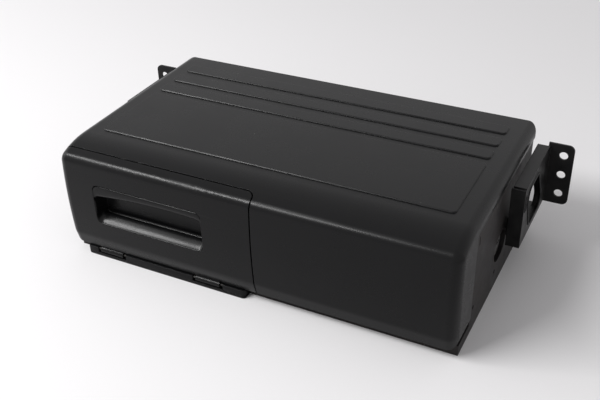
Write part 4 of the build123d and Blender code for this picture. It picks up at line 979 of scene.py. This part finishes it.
def make_lamps(stage):
    """A softbox high at the left, and a strip in front that draws the line along the brow."""
    add_lamp("softbox", *SOFTBOX, stage.softbox_power)
    add_lamp("strip", *STRIP, stage.strip_power)


def make_world(stage):
    """A white room: white to the camera, in reflections and through glass, dimmer as a light."""
    world = bpy.data.worlds.new("white_room")
    world.use_nodes = True
    tree = world.node_tree
    tree.nodes.clear()
    path = add_node(tree, "ShaderNodeLightPath")
    direct = add_node(tree, "ShaderNodeMath", {"operation": "MAXIMUM"}, {
        0: path.outputs["Is Camera Ray"], 1: path.outputs["Is Transmission Ray"]})
    seen = add_node(tree, "ShaderNodeMath", {"operation": "MAXIMUM"}, {
        0: direct.outputs[0], 1: path.outputs["Is Glossy Ray"]})
    strength = add_node(tree, "ShaderNodeMapRange", inputs={
        "Value": seen.outputs[0], "To Min": stage.room_light, "To Max": 1.0})
    light = add_node(tree, "ShaderNodeBackground", inputs={
        "Color": linear("#F6F5F6"), "Strength": strength.outputs[0]})
    add_node(tree, "ShaderNodeOutputWorld", inputs={"Surface": light.outputs[0]})
    bpy.context.scene.world = world


def make_camera():
    """The photograph's camera."""
    lens = bpy.data.cameras.new("camera")
    lens.sensor_width = SENSOR
    lens.lens = CAMERA_FOCUS / PHOTO_WIDTH * SENSOR
    camera = bpy.data.objects.new("camera", lens)
    camera.location = [v * MM for v in CAMERA_PLACE]
    camera.rotation_euler = [math.radians(v) for v in CAMERA_TURN]
    bpy.context.collection.objects.link(camera)
    bpy.context.scene.camera = camera


class CHANGER_PT_panel(bpy.types.Panel):
    """Lists the changer's pieces in the sidebar"""
    bl_idname = "CHANGER_PT_panel"
    bl_label = "Car CD changer"
    bl_space_type = "VIEW_3D"
    bl_region_type = "UI"
    bl_category = "Changer"

    def draw(self, context):
        for operator in OPERATORS:
            self.layout.operator(operator.bl_idname)


GROUPS = {
    "changer_finish": CHANGER_PG_finish,
    "changer_edges": CHANGER_PG_edges,
    "changer_pull": CHANGER_PG_pull,
    "changer_screw": CHANGER_PG_screw,
    "changer_stage": CHANGER_PG_stage,
}
OPERATORS = (
    CHANGER_OT_finishes, CHANGER_OT_case, CHANGER_OT_pull, CHANGER_OT_sill, CHANGER_OT_screws,
    CHANGER_OT_rolled_edges, CHANGER_OT_stage)


def register():
    for group in GROUPS.values():
        bpy.utils.register_class(group)
    for name, group in GROUPS.items():
        setattr(bpy.types.Scene, name, bpy.props.PointerProperty(type=group))
    for operator in OPERATORS:
        bpy.utils.register_class(operator)
    bpy.utils.register_class(CHANGER_PT_panel)


def unregister():
    bpy.utils.unregister_class(CHANGER_PT_panel)
    for operator in reversed(OPERATORS):
        bpy.utils.unregister_class(operator)
    for name, group in GROUPS.items():
        delattr(bpy.types.Scene, name)
        bpy.utils.unregister_class(group)


def main():
    register()
    bpy.ops.changer.finishes()
    bpy.ops.changer.case()
    bpy.ops.changer.pull()
    bpy.ops.changer.sill()
    bpy.ops.changer.screws()
    bpy.ops.changer.rolled_edges()
    bpy.ops.changer.stage()


if __name__ == "__main__":
    main()
